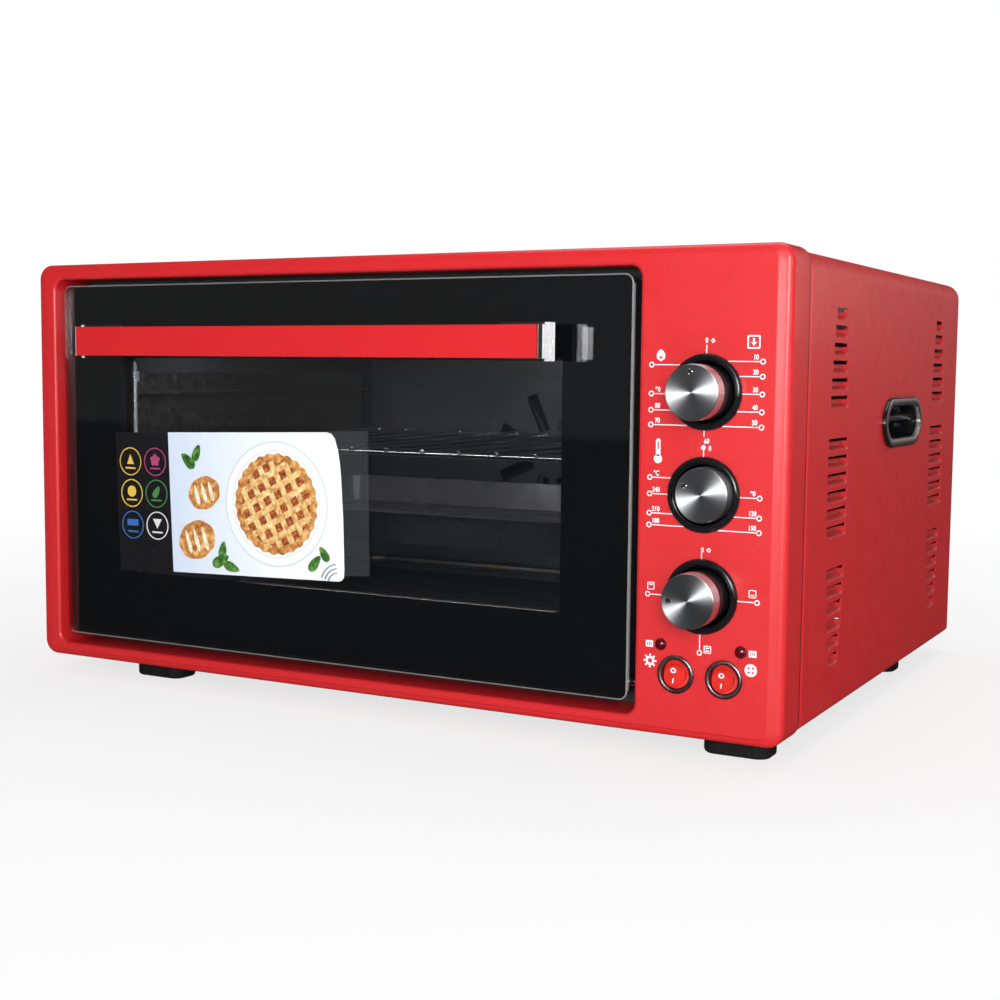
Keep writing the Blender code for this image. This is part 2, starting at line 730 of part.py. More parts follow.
def oven_cavity(enamel):
    """The liner: a round-cornered box, open in front, with a flange behind the door."""
    flange = (OPEN_LEFT - FLANGE_OVERLAP, OPEN_RIGHT + FLANGE_OVERLAP,
              OPEN_BOTTOM - FLANGE_OVERLAP, OPEN_TOP + FLANGE_OVERLAP)
    face = depth(FRAME_DEPTH)
    mesh = bmesh.new()
    outer = add_ring(mesh, inset_box(flange, 0, OPENING_CORNER), face)
    mouth = add_ring(mesh, inset_box(CAVITY_BOX, 0, CAVITY_CORNER), face)
    back = add_ring(mesh, inset_box(CAVITY_BOX, 0, CAVITY_CORNER), CAVITY_BACK)
    fill_between(mesh, [outer, mouth])
    bridge(mesh, mouth, back)
    holes = [add_ring(mesh, circle(FAN_X, FAN_Z, FAN_SHAFT_RADIUS + CLEARANCE, SMALL_STEPS), CAVITY_BACK),
             add_ring(mesh, circle(*lamp_place(), LAMP_NECK + GAP, SMALL_STEPS), CAVITY_BACK)]
    fill_between(mesh, [back, *holes])
    face_front(mesh)
    piece = sheet_piece("oven_cavity", mesh, enamel, LINER)
    cuts = []
    for _, level in heater_levels():
        for place in (HEATER_FRONT, HEATER_FRONT + HEATER_SPAN):
            outline = circle(depth(FRAME_DEPTH + place), level, HEATER_HOLE, SMALL_STEPS)
            cuts.append(prism(outline, CAVITY_BOX[1] - OVERRUN, CAVITY_BOX[1] + OVERRUN, along_x))
    reach = ARM_WIDTH / 2 + CLEARANCE
    middle = HINGE_Z + math.sqrt(ARM_RADIUS ** 2 - (FRAME_DEPTH - HINGE_SET_BACK) ** 2)
    for _, across in arm_places():
        half = ARM_THICKNESS / 2 + CLEARANCE / 2
        cuts.append(block((across - half, face - OVERRUN, middle - reach),
                          (across + half, face + OVERRUN, middle + reach)))
    return combine(piece, new_piece("cavity_cuts", join_meshes(cuts), enamel), "DIFFERENCE")


def lamp_place():
    return (CAVITY_BOX[1] - LAMP_FROM_RIGHT, CAVITY_BOX[3] - LAMP_FROM_TOP)


def rack_levels():
    first = CAVITY_BOX[2] + CAVITY_HEIGHT * RACK_FIRST_SHARE
    return [first + CAVITY_HEIGHT * RACK_PITCH_SHARE * level for level in range(RACK_LEVELS)]


def rack_guides(steel):
    """A formed strip on each cavity wall with a ledge for each shelf level."""
    start = depth(FRAME_DEPTH + GUIDE_FRONT)
    for name, wall, side in (("rack_guide_left", CAVITY_BOX[0], 1), ("rack_guide_right", CAVITY_BOX[1], -1)):
        back = wall + side * GAP
        face = back + side * GUIDE_THICKNESS
        tip = back + side * (GUIDE_THICKNESS + GUIDE_LEDGE)
        low = rack_levels()[0] - GUIDE_LOWER_END
        outline = [(back, low), (face, low)]
        for level in rack_levels():
            outline += [(face, level - GUIDE_LEDGE_THICKNESS), (tip, level - GUIDE_LEDGE_THICKNESS),
                        (tip, level), (face, level)]
        top = rack_levels()[-1] + GUIDE_LOWER_END
        outline += [(face, top), (back, top)]
        new_piece(name, prism(outline, start, start + GUIDE_LENGTH), steel)


def wire_rack(steel):
    """The grill: an edge frame with wires from front to back."""
    level = rack_levels()[UNDER_RACK_LEVELS] + GAP
    start = depth(FRAME_DEPTH + RACK_FRONT_ROOM)
    left, right = RACK_BOX
    outline = rounded_box(left, right, start, start + RACK_LENGTH, RACK_EDGE_WIRE, FEW_STEPS)
    inner = right - left - 2 * RACK_EDGE_WIRE
    pitch = (inner + RACK_WIRE) / (RACK_WIRES + 1)
    holes = []
    for gap in range(RACK_WIRES + 1):
        low = left + RACK_EDGE_WIRE + gap * pitch
        high = low + pitch - RACK_WIRE
        near, far = start + RACK_EDGE_WIRE, start + RACK_LENGTH - RACK_EDGE_WIRE
        holes.append(((low, near), (high, near), (high, far), (low, far)))
    origin = (0.0, start, level)
    new_piece("wire_rack", prism(outline, level, level + RACK_WIRE, along_z, holes), steel, origin)


def baking_tray(enamel):
    """A shallow tray that hangs on the ledges by its rim."""
    level = rack_levels()[UNDER_TRAY_LEVELS] + GAP
    start = depth(FRAME_DEPTH + RACK_FRONT_ROOM)
    rim_box = (RACK_BOX[0], RACK_BOX[1], start, start + TRAY_LENGTH)
    lip = GUIDE_LEDGE + CLEARANCE
    mesh = bmesh.new()
    levels = ((inset_box(rim_box, 0, TRAY_CORNER), level + TRAY_SHEET),
              (inset_box(rim_box, lip, TRAY_CORNER), level + TRAY_SHEET),
              (inset_box(rim_box, lip + TRAY_TAPER, TRAY_CORNER - TRAY_TAPER), level - TRAY_DEPTH))
    rings = [add_ring(mesh, points, up, along_z) for points, up in levels]
    for ring, other in zip(rings, rings[1:]):
        bridge(mesh, ring, other)
    mesh.faces.new(rings[-1])
    bmesh.ops.recalc_face_normals(mesh, faces=mesh.faces)
    floor = max(mesh.faces, key=lambda face: face.calc_area())
    if floor.normal.z < 0:
        bmesh.ops.reverse_faces(mesh, faces=mesh.faces)
    return sheet_piece("baking_tray", mesh, enamel, TRAY_SHEET)


def heater_path(level):
    """One bent rod: in through the right wall, across, along the left side and back."""
    right = CAVITY_BOX[1] + HEATER_END
    left = CAVITY_BOX[0] + HEATER_FROM_LEFT
    front = depth(FRAME_DEPTH + HEATER_FRONT)
    back = front + HEATER_SPAN
    points = [Vector((right, front, level))]
    for centre_y, start in ((front + HEATER_BEND, -math.pi / 2), (back - HEATER_BEND, math.pi)):
        for step in range(CORNER_STEPS + 1):
            angle = start - step / CORNER_STEPS * math.pi / 2
            points.append(Vector((left + HEATER_BEND + HEATER_BEND * math.cos(angle),
                                  centre_y + HEATER_BEND * math.sin(angle), level)))
    points.append(Vector((right, back, level)))
    return points


def heaters(steel):
    """Two rod elements, each a round tube along its path."""
    for name, level in heater_levels():
        points = heater_path(level)
        curve = bpy.data.curves.new(name, "CURVE")
        curve.dimensions = "3D"
        curve.bevel_depth = HEATER_RADIUS
        curve.bevel_resolution = FEW_STEPS
        curve.use_fill_caps = True
        spline = curve.splines.new("POLY")
        spline.points.add(len(points) - 1)
        origin = points[0]
        for place, point in zip(spline.points, points):
            place.co = (*(point - origin), 1.0)
        curve.materials.append(steel)
        piece = bpy.data.objects.new(name, curve)
        piece.location = origin
        bpy.context.scene.collection.objects.link(piece)


def fan(steel, plastic):
    """Impeller with its shaft, the guard over it and the motor behind the cavity."""
    front = CAVITY_BACK - FAN_FROM_WALL - FAN_BLADE_LENGTH
    outline = []
    half = math.asin(FAN_BLADE / 2 / FAN_HUB)
    for blade in range(FAN_BLADES):
        turn = blade / FAN_BLADES * math.tau
        along = Vector((math.cos(turn), math.sin(turn)))
        aside = Vector((-along.y, along.x)) * FAN_BLADE / 2
        root = FAN_HUB * math.cos(half)
        outline += [along * root - aside, along * FAN_RADIUS - aside,
                    along * FAN_RADIUS + aside, along * root + aside]
        between = turn + math.pi / FAN_BLADES
        outline.append(Vector((math.cos(between), math.sin(between))) * FAN_HUB)
    outline = [(FAN_X + point.x, FAN_Z + point.y) for point in outline]
    mesh = bmesh.new()
    rings = [add_ring(mesh, outline, level) for level in (front, front + FAN_BLADE_LENGTH)]
    shaft = [add_ring(mesh, circle(FAN_X, FAN_Z, FAN_SHAFT_RADIUS, SMALL_STEPS), level)
             for level in (front + FAN_BLADE_LENGTH, front + FAN_BLADE_LENGTH + FAN_SHAFT_LENGTH)]
    bridge(mesh, *rings)
    bridge(mesh, *shaft)
    fill_between(mesh, [rings[0]])
    fill_between(mesh, [rings[1], shaft[0]])
    mesh.faces.new(shaft[1])
    new_piece("fan_impeller", mesh, steel, (FAN_X, front, FAN_Z))
    fan_guard(steel)
    motor = FRAME_DEPTH + CAVITY_DEPTH + LINER + GAP
    bore = FAN_SHAFT_RADIUS + GAP
    profile = ((0.0, motor + MOTOR_BORE_DEPTH), (bore, motor + MOTOR_BORE_DEPTH), (bore, motor),
               (MOTOR_RADIUS, motor), (MOTOR_RADIUS, motor + MOTOR_LENGTH), (0.0, motor + MOTOR_LENGTH))
    new_piece("fan_motor", turned(profile, (FAN_X, FAN_Z)), plastic)


def fan_guard(steel):
    """A round cup with slots in its face."""
    face = GUARD_BACK - GUARD_DEPTH
    mesh = bmesh.new()
    rim = add_ring(mesh, circle(FAN_X, FAN_Z, GUARD_RADIUS), GUARD_BACK)
    front = add_ring(mesh, circle(FAN_X, FAN_Z, GUARD_RADIUS), face)
    bridge(mesh, rim, front)
    rings = [front]
    for slot in range(GUARD_SLOTS):
        turn = (slot + 1 / 2) / GUARD_SLOTS * math.tau
        along = Vector((math.cos(turn), math.sin(turn)))
        aside = Vector((-along.y, along.x)) * GUARD_SLOT_WIDTH / 2
        corners = (along * GUARD_SLOT_INNER - aside, along * GUARD_SLOT_OUTER - aside,
                   along * GUARD_SLOT_OUTER + aside, along * GUARD_SLOT_INNER + aside)
        rings.append(add_ring(mesh, [(FAN_X + corner.x, FAN_Z + corner.y) for corner in corners], face))
    fill_between(mesh, rings)
    face_front(mesh)
    return sheet_piece("fan_guard", mesh, steel, LINER)


def oven_lamp(glass):
    """The lamp: a glass dome inside, its neck through the back wall, its socket behind."""
    wall = FRAME_DEPTH + CAVITY_DEPTH
    dome = LAMP_RADIUS
    profile = [(0.0, wall - GAP - LAMP_PROUD)]
    for step in range(1, CORNER_STEPS + 1):
        angle = step / CORNER_STEPS * math.pi / 2
        profile.append((dome * math.sin(angle), wall - GAP - LAMP_PROUD * math.cos(angle)))
    profile += [(LAMP_NECK, wall - GAP), (LAMP_NECK, wall + LAMP_SOCKET), (0.0, wall + LAMP_SOCKET)]
    new_piece("oven_lamp", turned(profile, lamp_place(), SMALL_STEPS), glass)


def window_box(inset):
    """The door frame's window, drawn in by inset."""
    return (GLASS_BOX[0] + WINDOW_LEFT + inset, GLASS_BOX[1] - WINDOW_RIGHT - inset,
            GLASS_BOX[2] + WINDOW_BOTTOM + inset, GLASS_BOX[3] - WINDOW_TOP - inset)


def door(glass, enamel, steel, seal):
    """The door's own pieces: glass, frame, inner glass, inner panel and seal."""
    origin = (0.0, HINGE_Y, HINGE_Z)
    front = depth(GLASS_SET_BACK)
    outline = inset_box(GLASS_BOX, 0, GLASS_CORNER)
    new_piece("door_glass_outer", prism(outline, front, front + GLASS_THICKNESS), glass, origin)
    mesh = bmesh.new()
    outer = inset_box(GLASS_BOX, DOOR_FRAME_INSET, GLASS_CORNER)
    window = inset_box(window_box(0.0), 0, WINDOW_CORNER)
    rings = [add_ring(mesh, points, level) for points, level in (
        (outer, DOOR_FRAME_BACK), (outer, DOOR_FRAME_FRONT), (window, DOOR_FRAME_FRONT),
        (window, DOOR_FRAME_BACK - INNER_GLASS_THICKNESS - 2 * GAP))]
    bridge(mesh, rings[0], rings[1])
    fill_between(mesh, rings[1:3])
    bridge(mesh, rings[2], rings[3])
    face_front(mesh)
    sheet_piece("door_frame", mesh, enamel, LINER)
    pane = inset_box(window_box(-INNER_GLASS_OVERLAP), 0, WINDOW_CORNER)
    pane_back = DOOR_FRAME_BACK
    new_piece("door_glass_inner", prism(pane, pane_back - INNER_GLASS_THICKNESS, pane_back), glass, origin)
    hole = inset_box(window_box(INNER_PANEL_LIP), 0, WINDOW_CORNER)
    panel = prism(outer, INNER_PANEL_FRONT, INNER_PANEL_BACK, along_y, [hole])
    new_piece("door_inner_panel", panel, steel, origin)
    ring_box = (CAVITY_BOX[0] - CLEARANCE, CAVITY_BOX[1] + CLEARANCE,
                CAVITY_BOX[2] - CLEARANCE, CAVITY_BOX[3] + CLEARANCE)
    inner = inset_box(ring_box, 0, CAVITY_CORNER)
    outer_ring = inset_box(ring_box, -SEAL_WIDTH, CAVITY_CORNER + SEAL_WIDTH)
    start = INNER_PANEL_BACK + GAP
    new_piece("door_seal", prism(outer_ring, start, start + SEAL_THICKNESS, along_y, [inner]), seal, origin)


def handle(paint, steel, plastic):
    """A painted bar on two metal brackets, each on a spacer from the glass."""
    left = GLASS_BOX[0] + HANDLE_FROM_LEFT
    right = GLASS_BOX[1] - HANDLE_FROM_RIGHT
    middle = GLASS_BOX[3] - HANDLE_FROM_TOP
    front = depth(-HANDLE_REACH)
    low, high = middle - HANDLE_HEIGHT / 2, middle + HANDLE_HEIGHT / 2
    outline = rounded_box(front, front + HANDLE_DEPTH, low, high, HANDLE_EDGE, FEW_STEPS)
    inset = BRACKET_PLATE + GAP
    origin = (0.0, HINGE_Y, HINGE_Z)
    new_piece("handle_bar", prism(outline, left + inset, right - inset, along_x), paint, origin)
    plate_back = front + HANDLE_DEPTH + GAP
    back = plate_back + BRACKET_DEPTH
    for name, end, side in (("left", left, 1), ("right", right, -1)):
        foot = sorted((end, end + side * BRACKET_LENGTH))
        plate = sorted((end, end + side * BRACKET_PLATE))
        base = block((foot[0], plate_back, middle - BRACKET_HEIGHT / 2),
                     (foot[1], back, middle + BRACKET_HEIGHT / 2))
        cheek = block((plate[0], front, low), (plate[1], plate_back + BRACKET_DEPTH / 2, high))
        piece = new_piece("handle_bracket_" + name, base, steel, origin)
        combine(piece, new_piece("cheek_" + name, cheek, steel), "UNION")
        post_x = (foot[0] + foot[1]) / 2
        profile = ((0.0, back - FRONT_Y + GAP), (SPACER_RADIUS, back - FRONT_Y + GAP),
                   (SPACER_RADIUS, GLASS_SET_BACK - GAP), (0.0, GLASS_SET_BACK - GAP))
        new_piece("handle_spacer_" + name, turned(profile, (post_x, middle), SMALL_STEPS), plastic, origin)


def arm_outline():
    """The hinge arm in (Y, Z): an arc round the hinge, from the door's back inwards."""
    start = math.asin((INNER_PANEL_BACK + GAP - HINGE_Y) / (ARM_RADIUS - ARM_WIDTH / 2))
    points = []
    for radius, order in ((ARM_RADIUS + ARM_WIDTH / 2, 1), (ARM_RADIUS - ARM_WIDTH / 2, -1)):
        arc = []
        for step in range(ARM_STEPS + 1):
            angle = start + step / ARM_STEPS * ARM_SWEEP
            arc.append((HINGE_Y + radius * math.sin(angle), HINGE_Z + radius * math.cos(angle)))
        points += arc[::order]
    return points


def hinges(steel):
    """Pins on the door's lower corners, their brackets in the frame, and the arms that stop the door."""
    origin = (0.0, HINGE_Y, HINGE_Z)
    pin = circle(HINGE_Y, HINGE_Z, HINGE_PIN_RADIUS, SMALL_STEPS)
    bore = circle(HINGE_Y, HINGE_Z, HINGE_PIN_RADIUS + GAP, SMALL_STEPS)
    box = (HINGE_Y - HINGE_BRACKET_DEPTH / 2, HINGE_Y + HINGE_BRACKET_DEPTH / 2,
           HINGE_Z - HINGE_BRACKET_HEIGHT / 2, HINGE_Z + HINGE_BRACKET_HEIGHT / 2)
    for name, side, wall, door_side in (("left", -1, OPEN_LEFT, GLASS_BOX[0]),
                                        ("right", 1, OPEN_RIGHT, GLASS_BOX[1])):
        start = door_side - side * (DOOR_FRAME_INSET - GAP)
        bracket = wall + side * (SHEET + GAP)
        end = bracket + side * HINGE_BRACKET_LENGTH
        new_piece("hinge_pin_" + name, prism(pin, start, end, along_x), steel, origin)
        body = prism(inset_box(box, 0, CLEARANCE, 1), bracket, end, along_x, [bore])
        new_piece("hinge_bracket_" + name, body, steel)
    for name, across in arm_places():
        arm = prism(arm_outline(), across - ARM_THICKNESS / 2, across + ARM_THICKNESS / 2, along_x)
        new_piece("hinge_arm_" + name, arm, steel, origin)


def control_bracket(steel):
    """The sheet behind the panel that carries the switches."""
    low = height(SHEET + GAP)
    top = height(FRAME_HEIGHT - SHEET - GAP)
    start = depth(WELL_DEPTH + GAP)
    outline = rounded_box(OPEN_RIGHT + SHEET + GAP, FRAME_RIGHT - SHEET - GAP, low, top,
                          FRAME_CORNER - SHEET)
    holes = [circle(CONTROL_X, height(up), SHAFT_HOLE, SMALL_STEPS)
             for up in (TIMER_HEIGHT, THERMOSTAT_HEIGHT, SELECTOR_HEIGHT)]
    holes.append(rounded_box(OPEN_RIGHT + BRACKET_MARGIN, FRAME_RIGHT - BRACKET_MARGIN,
                             height(SWITCH_HEIGHT - SWITCH_RADIUS), height(LAMP_LENS_HEIGHT), CLEARANCE, 1))
    new_piece("control_bracket", prism(outline, start, start + BRACKET_SHEET, along_y, holes), steel)


def knob_sets(plastic, black, steel, shaft_steel):
    """Bezel, knob, cap and shaft, three times; the middle knob is pushed in."""
    for name, up, pushed in (("timer", TIMER_HEIGHT, False), ("thermostat", THERMOSTAT_HEIGHT, True),
                             ("selector", SELECTOR_HEIGHT, False)):
        centre = (CONTROL_X, height(up))
        lip = -GAP
        face = -BEZEL_LIP
        bezel = ((KNOB_WELL, face + BEZEL_CHAMFER), (KNOB_WELL + BEZEL_CHAMFER, face),
                 (BEZEL_RADIUS - BEZEL_CHAMFER, face), (BEZEL_RADIUS, face + BEZEL_CHAMFER),
                 (BEZEL_RADIUS, lip), (SLEEVE_RADIUS, lip), (SLEEVE_RADIUS, WELL_DEPTH),
                 (SHAFT_HOLE, WELL_DEPTH), (SHAFT_HOLE, WELL_DEPTH - WELL_FLOOR),
                 (KNOB_WELL, WELL_DEPTH - WELL_FLOOR))
        new_piece(name + "_bezel", turned(bezel, centre), plastic)
        out = KNOB_OUT - (KNOB_TRAVEL if pushed else 0)
        front = -out + CAP_THICKNESS + GAP
        back = front + KNOB_LENGTH
        bore_end = front + KNOB_LENGTH - (KNOB_TRAVEL + SHAFT_SEAT)
        knob = ((0.0, front), (KNOB_RADIUS - KNOB_ROUND, front), (KNOB_RADIUS, front + KNOB_ROUND),
                (KNOB_RADIUS, back), (SHAFT_HOLE, back), (SHAFT_HOLE, bore_end), (0.0, bore_end))
        axis = (centre[0], depth(0), centre[1])
        new_piece(name + "_knob", turned(knob, centre), black, axis)
        cap = ((0.0, -out), (CAP_RADIUS - KNOB_ROUND / 2, -out), (CAP_RADIUS, -out + KNOB_ROUND / 2),
               (CAP_RADIUS, -out + CAP_THICKNESS), (0.0, -out + CAP_THICKNESS))
        new_piece(name + "_knob_cap", turned(cap, centre), steel, axis)
        seat = MECHANISM_FRONT - FRONT_Y + SHAFT_SEAT
        tip = -KNOB_OUT + CAP_THICKNESS + GAP + KNOB_LENGTH - SHAFT_SEAT + GAP
        shaft = ((0.0, tip), (SHAFT_RADIUS, tip), (SHAFT_RADIUS, seat), (0.0, seat))
        new_piece(name + "_shaft", turned(shaft, centre, SMALL_STEPS), shaft_steel, axis)


def mechanisms(steel, plastic):
    """What the shafts turn: bell timer, thermostat and selector switch, behind their bracket."""
    front = MECHANISM_FRONT - FRONT_Y
    bore_end = front + SHAFT_SEAT + GAP
    for name, up, radius, length, material in (
            ("timer_mechanism", TIMER_HEIGHT, TIMER_RADIUS, TIMER_LENGTH, steel),
            ("thermostat_body", THERMOSTAT_HEIGHT, THERMOSTAT_WIDTH / 2, THERMOSTAT_LENGTH, steel),
            ("selector_switch", SELECTOR_HEIGHT, SELECTOR_RADIUS, SELECTOR_LENGTH, plastic)):
        profile = ((0.0, bore_end), (SHAFT_HOLE, bore_end), (SHAFT_HOLE, front), (radius, front),
                   (radius, front + length), (0.0, front + length))
        new_piece(name, turned(profile, (CONTROL_X, height(up))), material)


def lamps_and_switches(lens, metal, rocker_red):
    """Two lamp lenses and two round rocker switches below the knobs."""
    for name, side in (("left", -1), ("right", 1)):
        centre = (CONTROL_X + side * LAMP_LENS_SPREAD, height(LAMP_LENS_HEIGHT))
        dome = ((0.0, -LENS_PROUD), (LENS_RADIUS / 2, -LENS_PROUD + LENS_ROUND),
                (LENS_RADIUS, -LENS_PROUD / 2), (LENS_RADIUS, -GAP), (LENS_STEM, -GAP),
                (LENS_STEM, LENS_LENGTH), (0.0, LENS_LENGTH))
        new_piece("lamp_lens_" + name, turned(dome, centre, SMALL_STEPS), lens)
        centre = (CONTROL_X + side * SWITCH_SPREAD, height(SWITCH_HEIGHT))
        body = ((SWITCH_WELL, -SWITCH_LIP + SWITCH_EDGE), (SWITCH_WELL + SWITCH_EDGE, -SWITCH_LIP),
                (SWITCH_RADIUS - SWITCH_EDGE, -SWITCH_LIP), (SWITCH_RADIUS, -SWITCH_LIP + SWITCH_EDGE),
                (SWITCH_RADIUS, -GAP), (SWITCH_BARREL, -GAP), (SWITCH_BARREL, SWITCH_LENGTH),
                (0.0, SWITCH_LENGTH), (0.0, SWITCH_WELL_DEPTH), (SWITCH_WELL, SWITCH_WELL_DEPTH))
        new_piece("switch_body_" + name, turned_cup(body, centre), metal)
        rocker(name, centre, rocker_red)


def turned_cup(profile, centre):
    """A turned solid with a blind well: its profile starts on the well's wall and ends on its floor."""
    floor = profile.index(next(point for point in profile if point[0] == 0.0))
    order = profile[floor + 1:] + profile[:floor + 1]
    return turned(order, centre)


def rocker(name, centre, material):
    """A round rocker with a shallow valley, built level and tilted to its off position."""
    pivot = Vector((centre[0], depth(ROCKER_PIVOT), centre[1]))
    mesh = bmesh.new()
    rings = []
    outline = circle(0.0, 0.0, ROCKER_RADIUS)
    slope = (ROCKER_TIP - ROCKER_VALLEY) / ROCKER_RADIUS
    for is_front in (True, False):
        ring = []
        for x, z in outline:
            level = -(ROCKER_VALLEY + slope * abs(z)) if is_front else ROCKER_BACK
            ring.append(mesh.verts.new((x, level, z)))
        rings.append(ring)
    bridge(mesh, *rings)
    mesh.faces.new(rings[1])
    fold_front(mesh, rings[0])
    turn = Matrix.Rotation(-ROCKER_TILT, 4, "X")
    bmesh.ops.transform(mesh, matrix=Matrix.Translation(pivot) @ turn, verts=mesh.verts)
    new_piece("switch_rocker_" + name, mesh, material, pivot)


def fold_front(mesh, ring):
    """Two flat halves that meet in the valley across the middle."""
    half = len(ring) // 2
    mesh.faces.new(ring[:half + 1])
    mesh.faces.new(ring[half:] + ring[:1])


def build():
    clear_scene()
    paint = make_material("red_paint", (0.62, 0.02, 0.03), 0.38)
    frame_steel = make_material("galvanised_steel", (0.55, 0.56, 0.57), 0.45, 1.0)
    bright = make_material("bright_steel", (0.75, 0.75, 0.76), 0.2, 1.0)
    brushed = make_material("brushed_steel", (0.62, 0.62, 0.63), 0.32, 1.0)
    enamel = make_material("black_enamel", (0.02, 0.02, 0.022), 0.3)
    glass = make_material("dark_glass", (0.01, 0.01, 0.012), 0.05)
    black = make_material("black_plastic", (0.012, 0.012, 0.013), 0.35)
    rubber = make_material("black_rubber", (0.02, 0.02, 0.02), 0.7)
    lens = make_material("lens_red", (0.25, 0.0, 0.01), 0.15)
    rocker_red = make_material("rocker_red", (0.8, 0.05, 0.01), 0.25)
    grey = make_material("seal_grey", (0.2, 0.2, 0.2), 0.8)
    lamp_glass = make_material("lamp_glass", (0.8, 0.8, 0.78), 0.1)
    front_frame(paint)
    outer_cover(paint)
    rear_panel(frame_steel)
    base_plate(frame_steel)
    feet(rubber)
    side_grips(black)
    cord_gland(black)
    oven_cavity(enamel)
    rack_guides(bright)
    wire_rack(bright)
    baking_tray(enamel)
    heaters(bright)
    fan(bright, black)
    oven_lamp(lamp_glass)
    door(glass, enamel, bright, grey)
    handle(paint, bright, black)
    hinges(bright)
    control_bracket(frame_steel)
    knob_sets(black, black, brushed, bright)
    mechanisms(bright, black)
    lamps_and_switches(lens, bright, rocker_red)


build()
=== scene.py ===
"""Looks of a table-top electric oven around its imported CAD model.

Lengths are in metres in the model's frame: the front faces -Y, X points to the viewer's right and Z is up.
The tables of printed marks are in millimetres on the control panel: across from the knobs' axis, and up from
the front frame's lower edge.
"""
import math

import bmesh
import bpy
from mathutils import Matrix, Vector

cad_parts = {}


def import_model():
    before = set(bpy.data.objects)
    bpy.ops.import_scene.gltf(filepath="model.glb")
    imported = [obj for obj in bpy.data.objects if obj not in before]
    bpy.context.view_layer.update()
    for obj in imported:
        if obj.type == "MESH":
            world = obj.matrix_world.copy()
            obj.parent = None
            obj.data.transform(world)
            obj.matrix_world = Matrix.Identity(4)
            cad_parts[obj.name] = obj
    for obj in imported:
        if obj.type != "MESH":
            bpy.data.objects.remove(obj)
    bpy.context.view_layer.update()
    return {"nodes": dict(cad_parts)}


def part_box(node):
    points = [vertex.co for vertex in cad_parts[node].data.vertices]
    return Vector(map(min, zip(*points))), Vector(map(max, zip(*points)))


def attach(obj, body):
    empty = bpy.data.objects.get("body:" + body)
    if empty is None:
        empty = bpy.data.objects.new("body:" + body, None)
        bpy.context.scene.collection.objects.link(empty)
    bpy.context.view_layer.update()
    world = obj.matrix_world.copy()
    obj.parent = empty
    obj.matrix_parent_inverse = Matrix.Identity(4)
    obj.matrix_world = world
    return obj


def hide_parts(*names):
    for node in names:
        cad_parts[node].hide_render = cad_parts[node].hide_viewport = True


MM = 0.001
ROUND_STEPS = 64
SMALL_STEPS = 32
CORNER_STEPS = 6
SMOOTH_ANGLE = math.radians(40)

# The camera of the photograph
CAMERA_PLACE = (0.57126, -1.07129, 0.24000)
CAMERA_YAW = math.radians(28.556)
CAMERA_PITCH = math.radians(-5.068)
CAMERA_ROLL = math.radians(0.555)
CAMERA_LENS = 53.96
CAMERA_SENSOR = 36.0
CAMERA_SHIFT = -0.001

# Printing on the front panel
INK = 0.00006
INK_LINE = 0.62
MARK_REACH = 35.3
RING_OUTER = 1.75
RING_INNER = 1.0
DIGIT_SIZE = 4.1
DIGIT_BOLD = 0.00013
BEZEL_EDGE = 22.6

# Each dial's marks: side, height, label; the lines run from the bezel to a small ring
TIMER_MARKS = (("right", 231.7, "10"), ("right", 222.8, "20"), ("right", 212.4, "30"),
               ("right", 201.9, "40"), ("right", 192.9, "50"), ("left", 192.9, "70"),
               ("left", 201.9, "80"), ("left", 211.8, "90"), ("left", 229.4, ""))
THERMOSTAT_MARKS = (("right", 150.8, "90"), ("right", 138.9, "120"), ("right", 130.2, "150"),
                    ("left", 131.3, "180"), ("left", 138.6, "210"), ("left", 150.5, "240"),
                    ("left", 160.6, "°C"))


def link_nodes(made, source, target):
    made.node_tree.links.new(source, target)


def make_material(name, colour, roughness, metallic=0.0, **sockets):
    """A Principled material whose constant values sit on the shader's own sockets."""
    made = bpy.data.materials.new(name)
    made.use_nodes = True
    shader = made.node_tree.nodes["Principled BSDF"]
    shader.inputs["Base Color"].default_value = (*colour, 1.0)
    shader.inputs["Roughness"].default_value = roughness
    shader.inputs["Metallic"].default_value = metallic
    for socket, value in sockets.items():
        shader.inputs[socket.replace("_", " ")].default_value = value
    return made


def shader_of(made):
    return made.node_tree.nodes["Principled BSDF"]


def noise(made, scale, detail=3.0, stretch=(1.0, 1.0, 1.0)):
    """Noise fixed to the piece, in features per metre."""
    tree = made.node_tree
    place = tree.nodes.new("ShaderNodeTexCoord")
    mapping = tree.nodes.new("ShaderNodeMapping")
    mapping.inputs["Scale"].default_value = stretch
    texture = tree.nodes.new("ShaderNodeTexNoise")
    texture.inputs["Scale"].default_value = scale
    texture.inputs["Detail"].default_value = detail
    link_nodes(made, place.outputs["Object"], mapping.inputs["Vector"])
    link_nodes(made, mapping.outputs["Vector"], texture.inputs["Vector"])
    return texture.outputs["Fac"]


def turned_noise(made, centre, scale):
    """Noise in fine rings about an axis along Y, as lathe work leaves them."""
    tree = made.node_tree
    place = tree.nodes.new("ShaderNodeTexCoord")
    shift = tree.nodes.new("ShaderNodeVectorMath")
    shift.operation = "SUBTRACT"
    shift.inputs[1].default_value = centre
    flat = tree.nodes.new("ShaderNodeVectorMath")
    flat.operation = "MULTIPLY"
    flat.inputs[1].default_value = (1.0, 0.0, 1.0)
    length = tree.nodes.new("ShaderNodeVectorMath")
    length.operation = "LENGTH"
    texture = tree.nodes.new("ShaderNodeTexNoise")
    texture.noise_dimensions = "1D"
    texture.inputs["Scale"].default_value = scale
    texture.inputs["Detail"].default_value = 4.0
    link_nodes(made, place.outputs["Object"], shift.inputs[0])
    link_nodes(made, shift.outputs["Vector"], flat.inputs[0])
    link_nodes(made, flat.outputs["Vector"], length.inputs[0])
    link_nodes(made, length.outputs["Value"], texture.inputs["W"])
    return texture.outputs["Fac"]


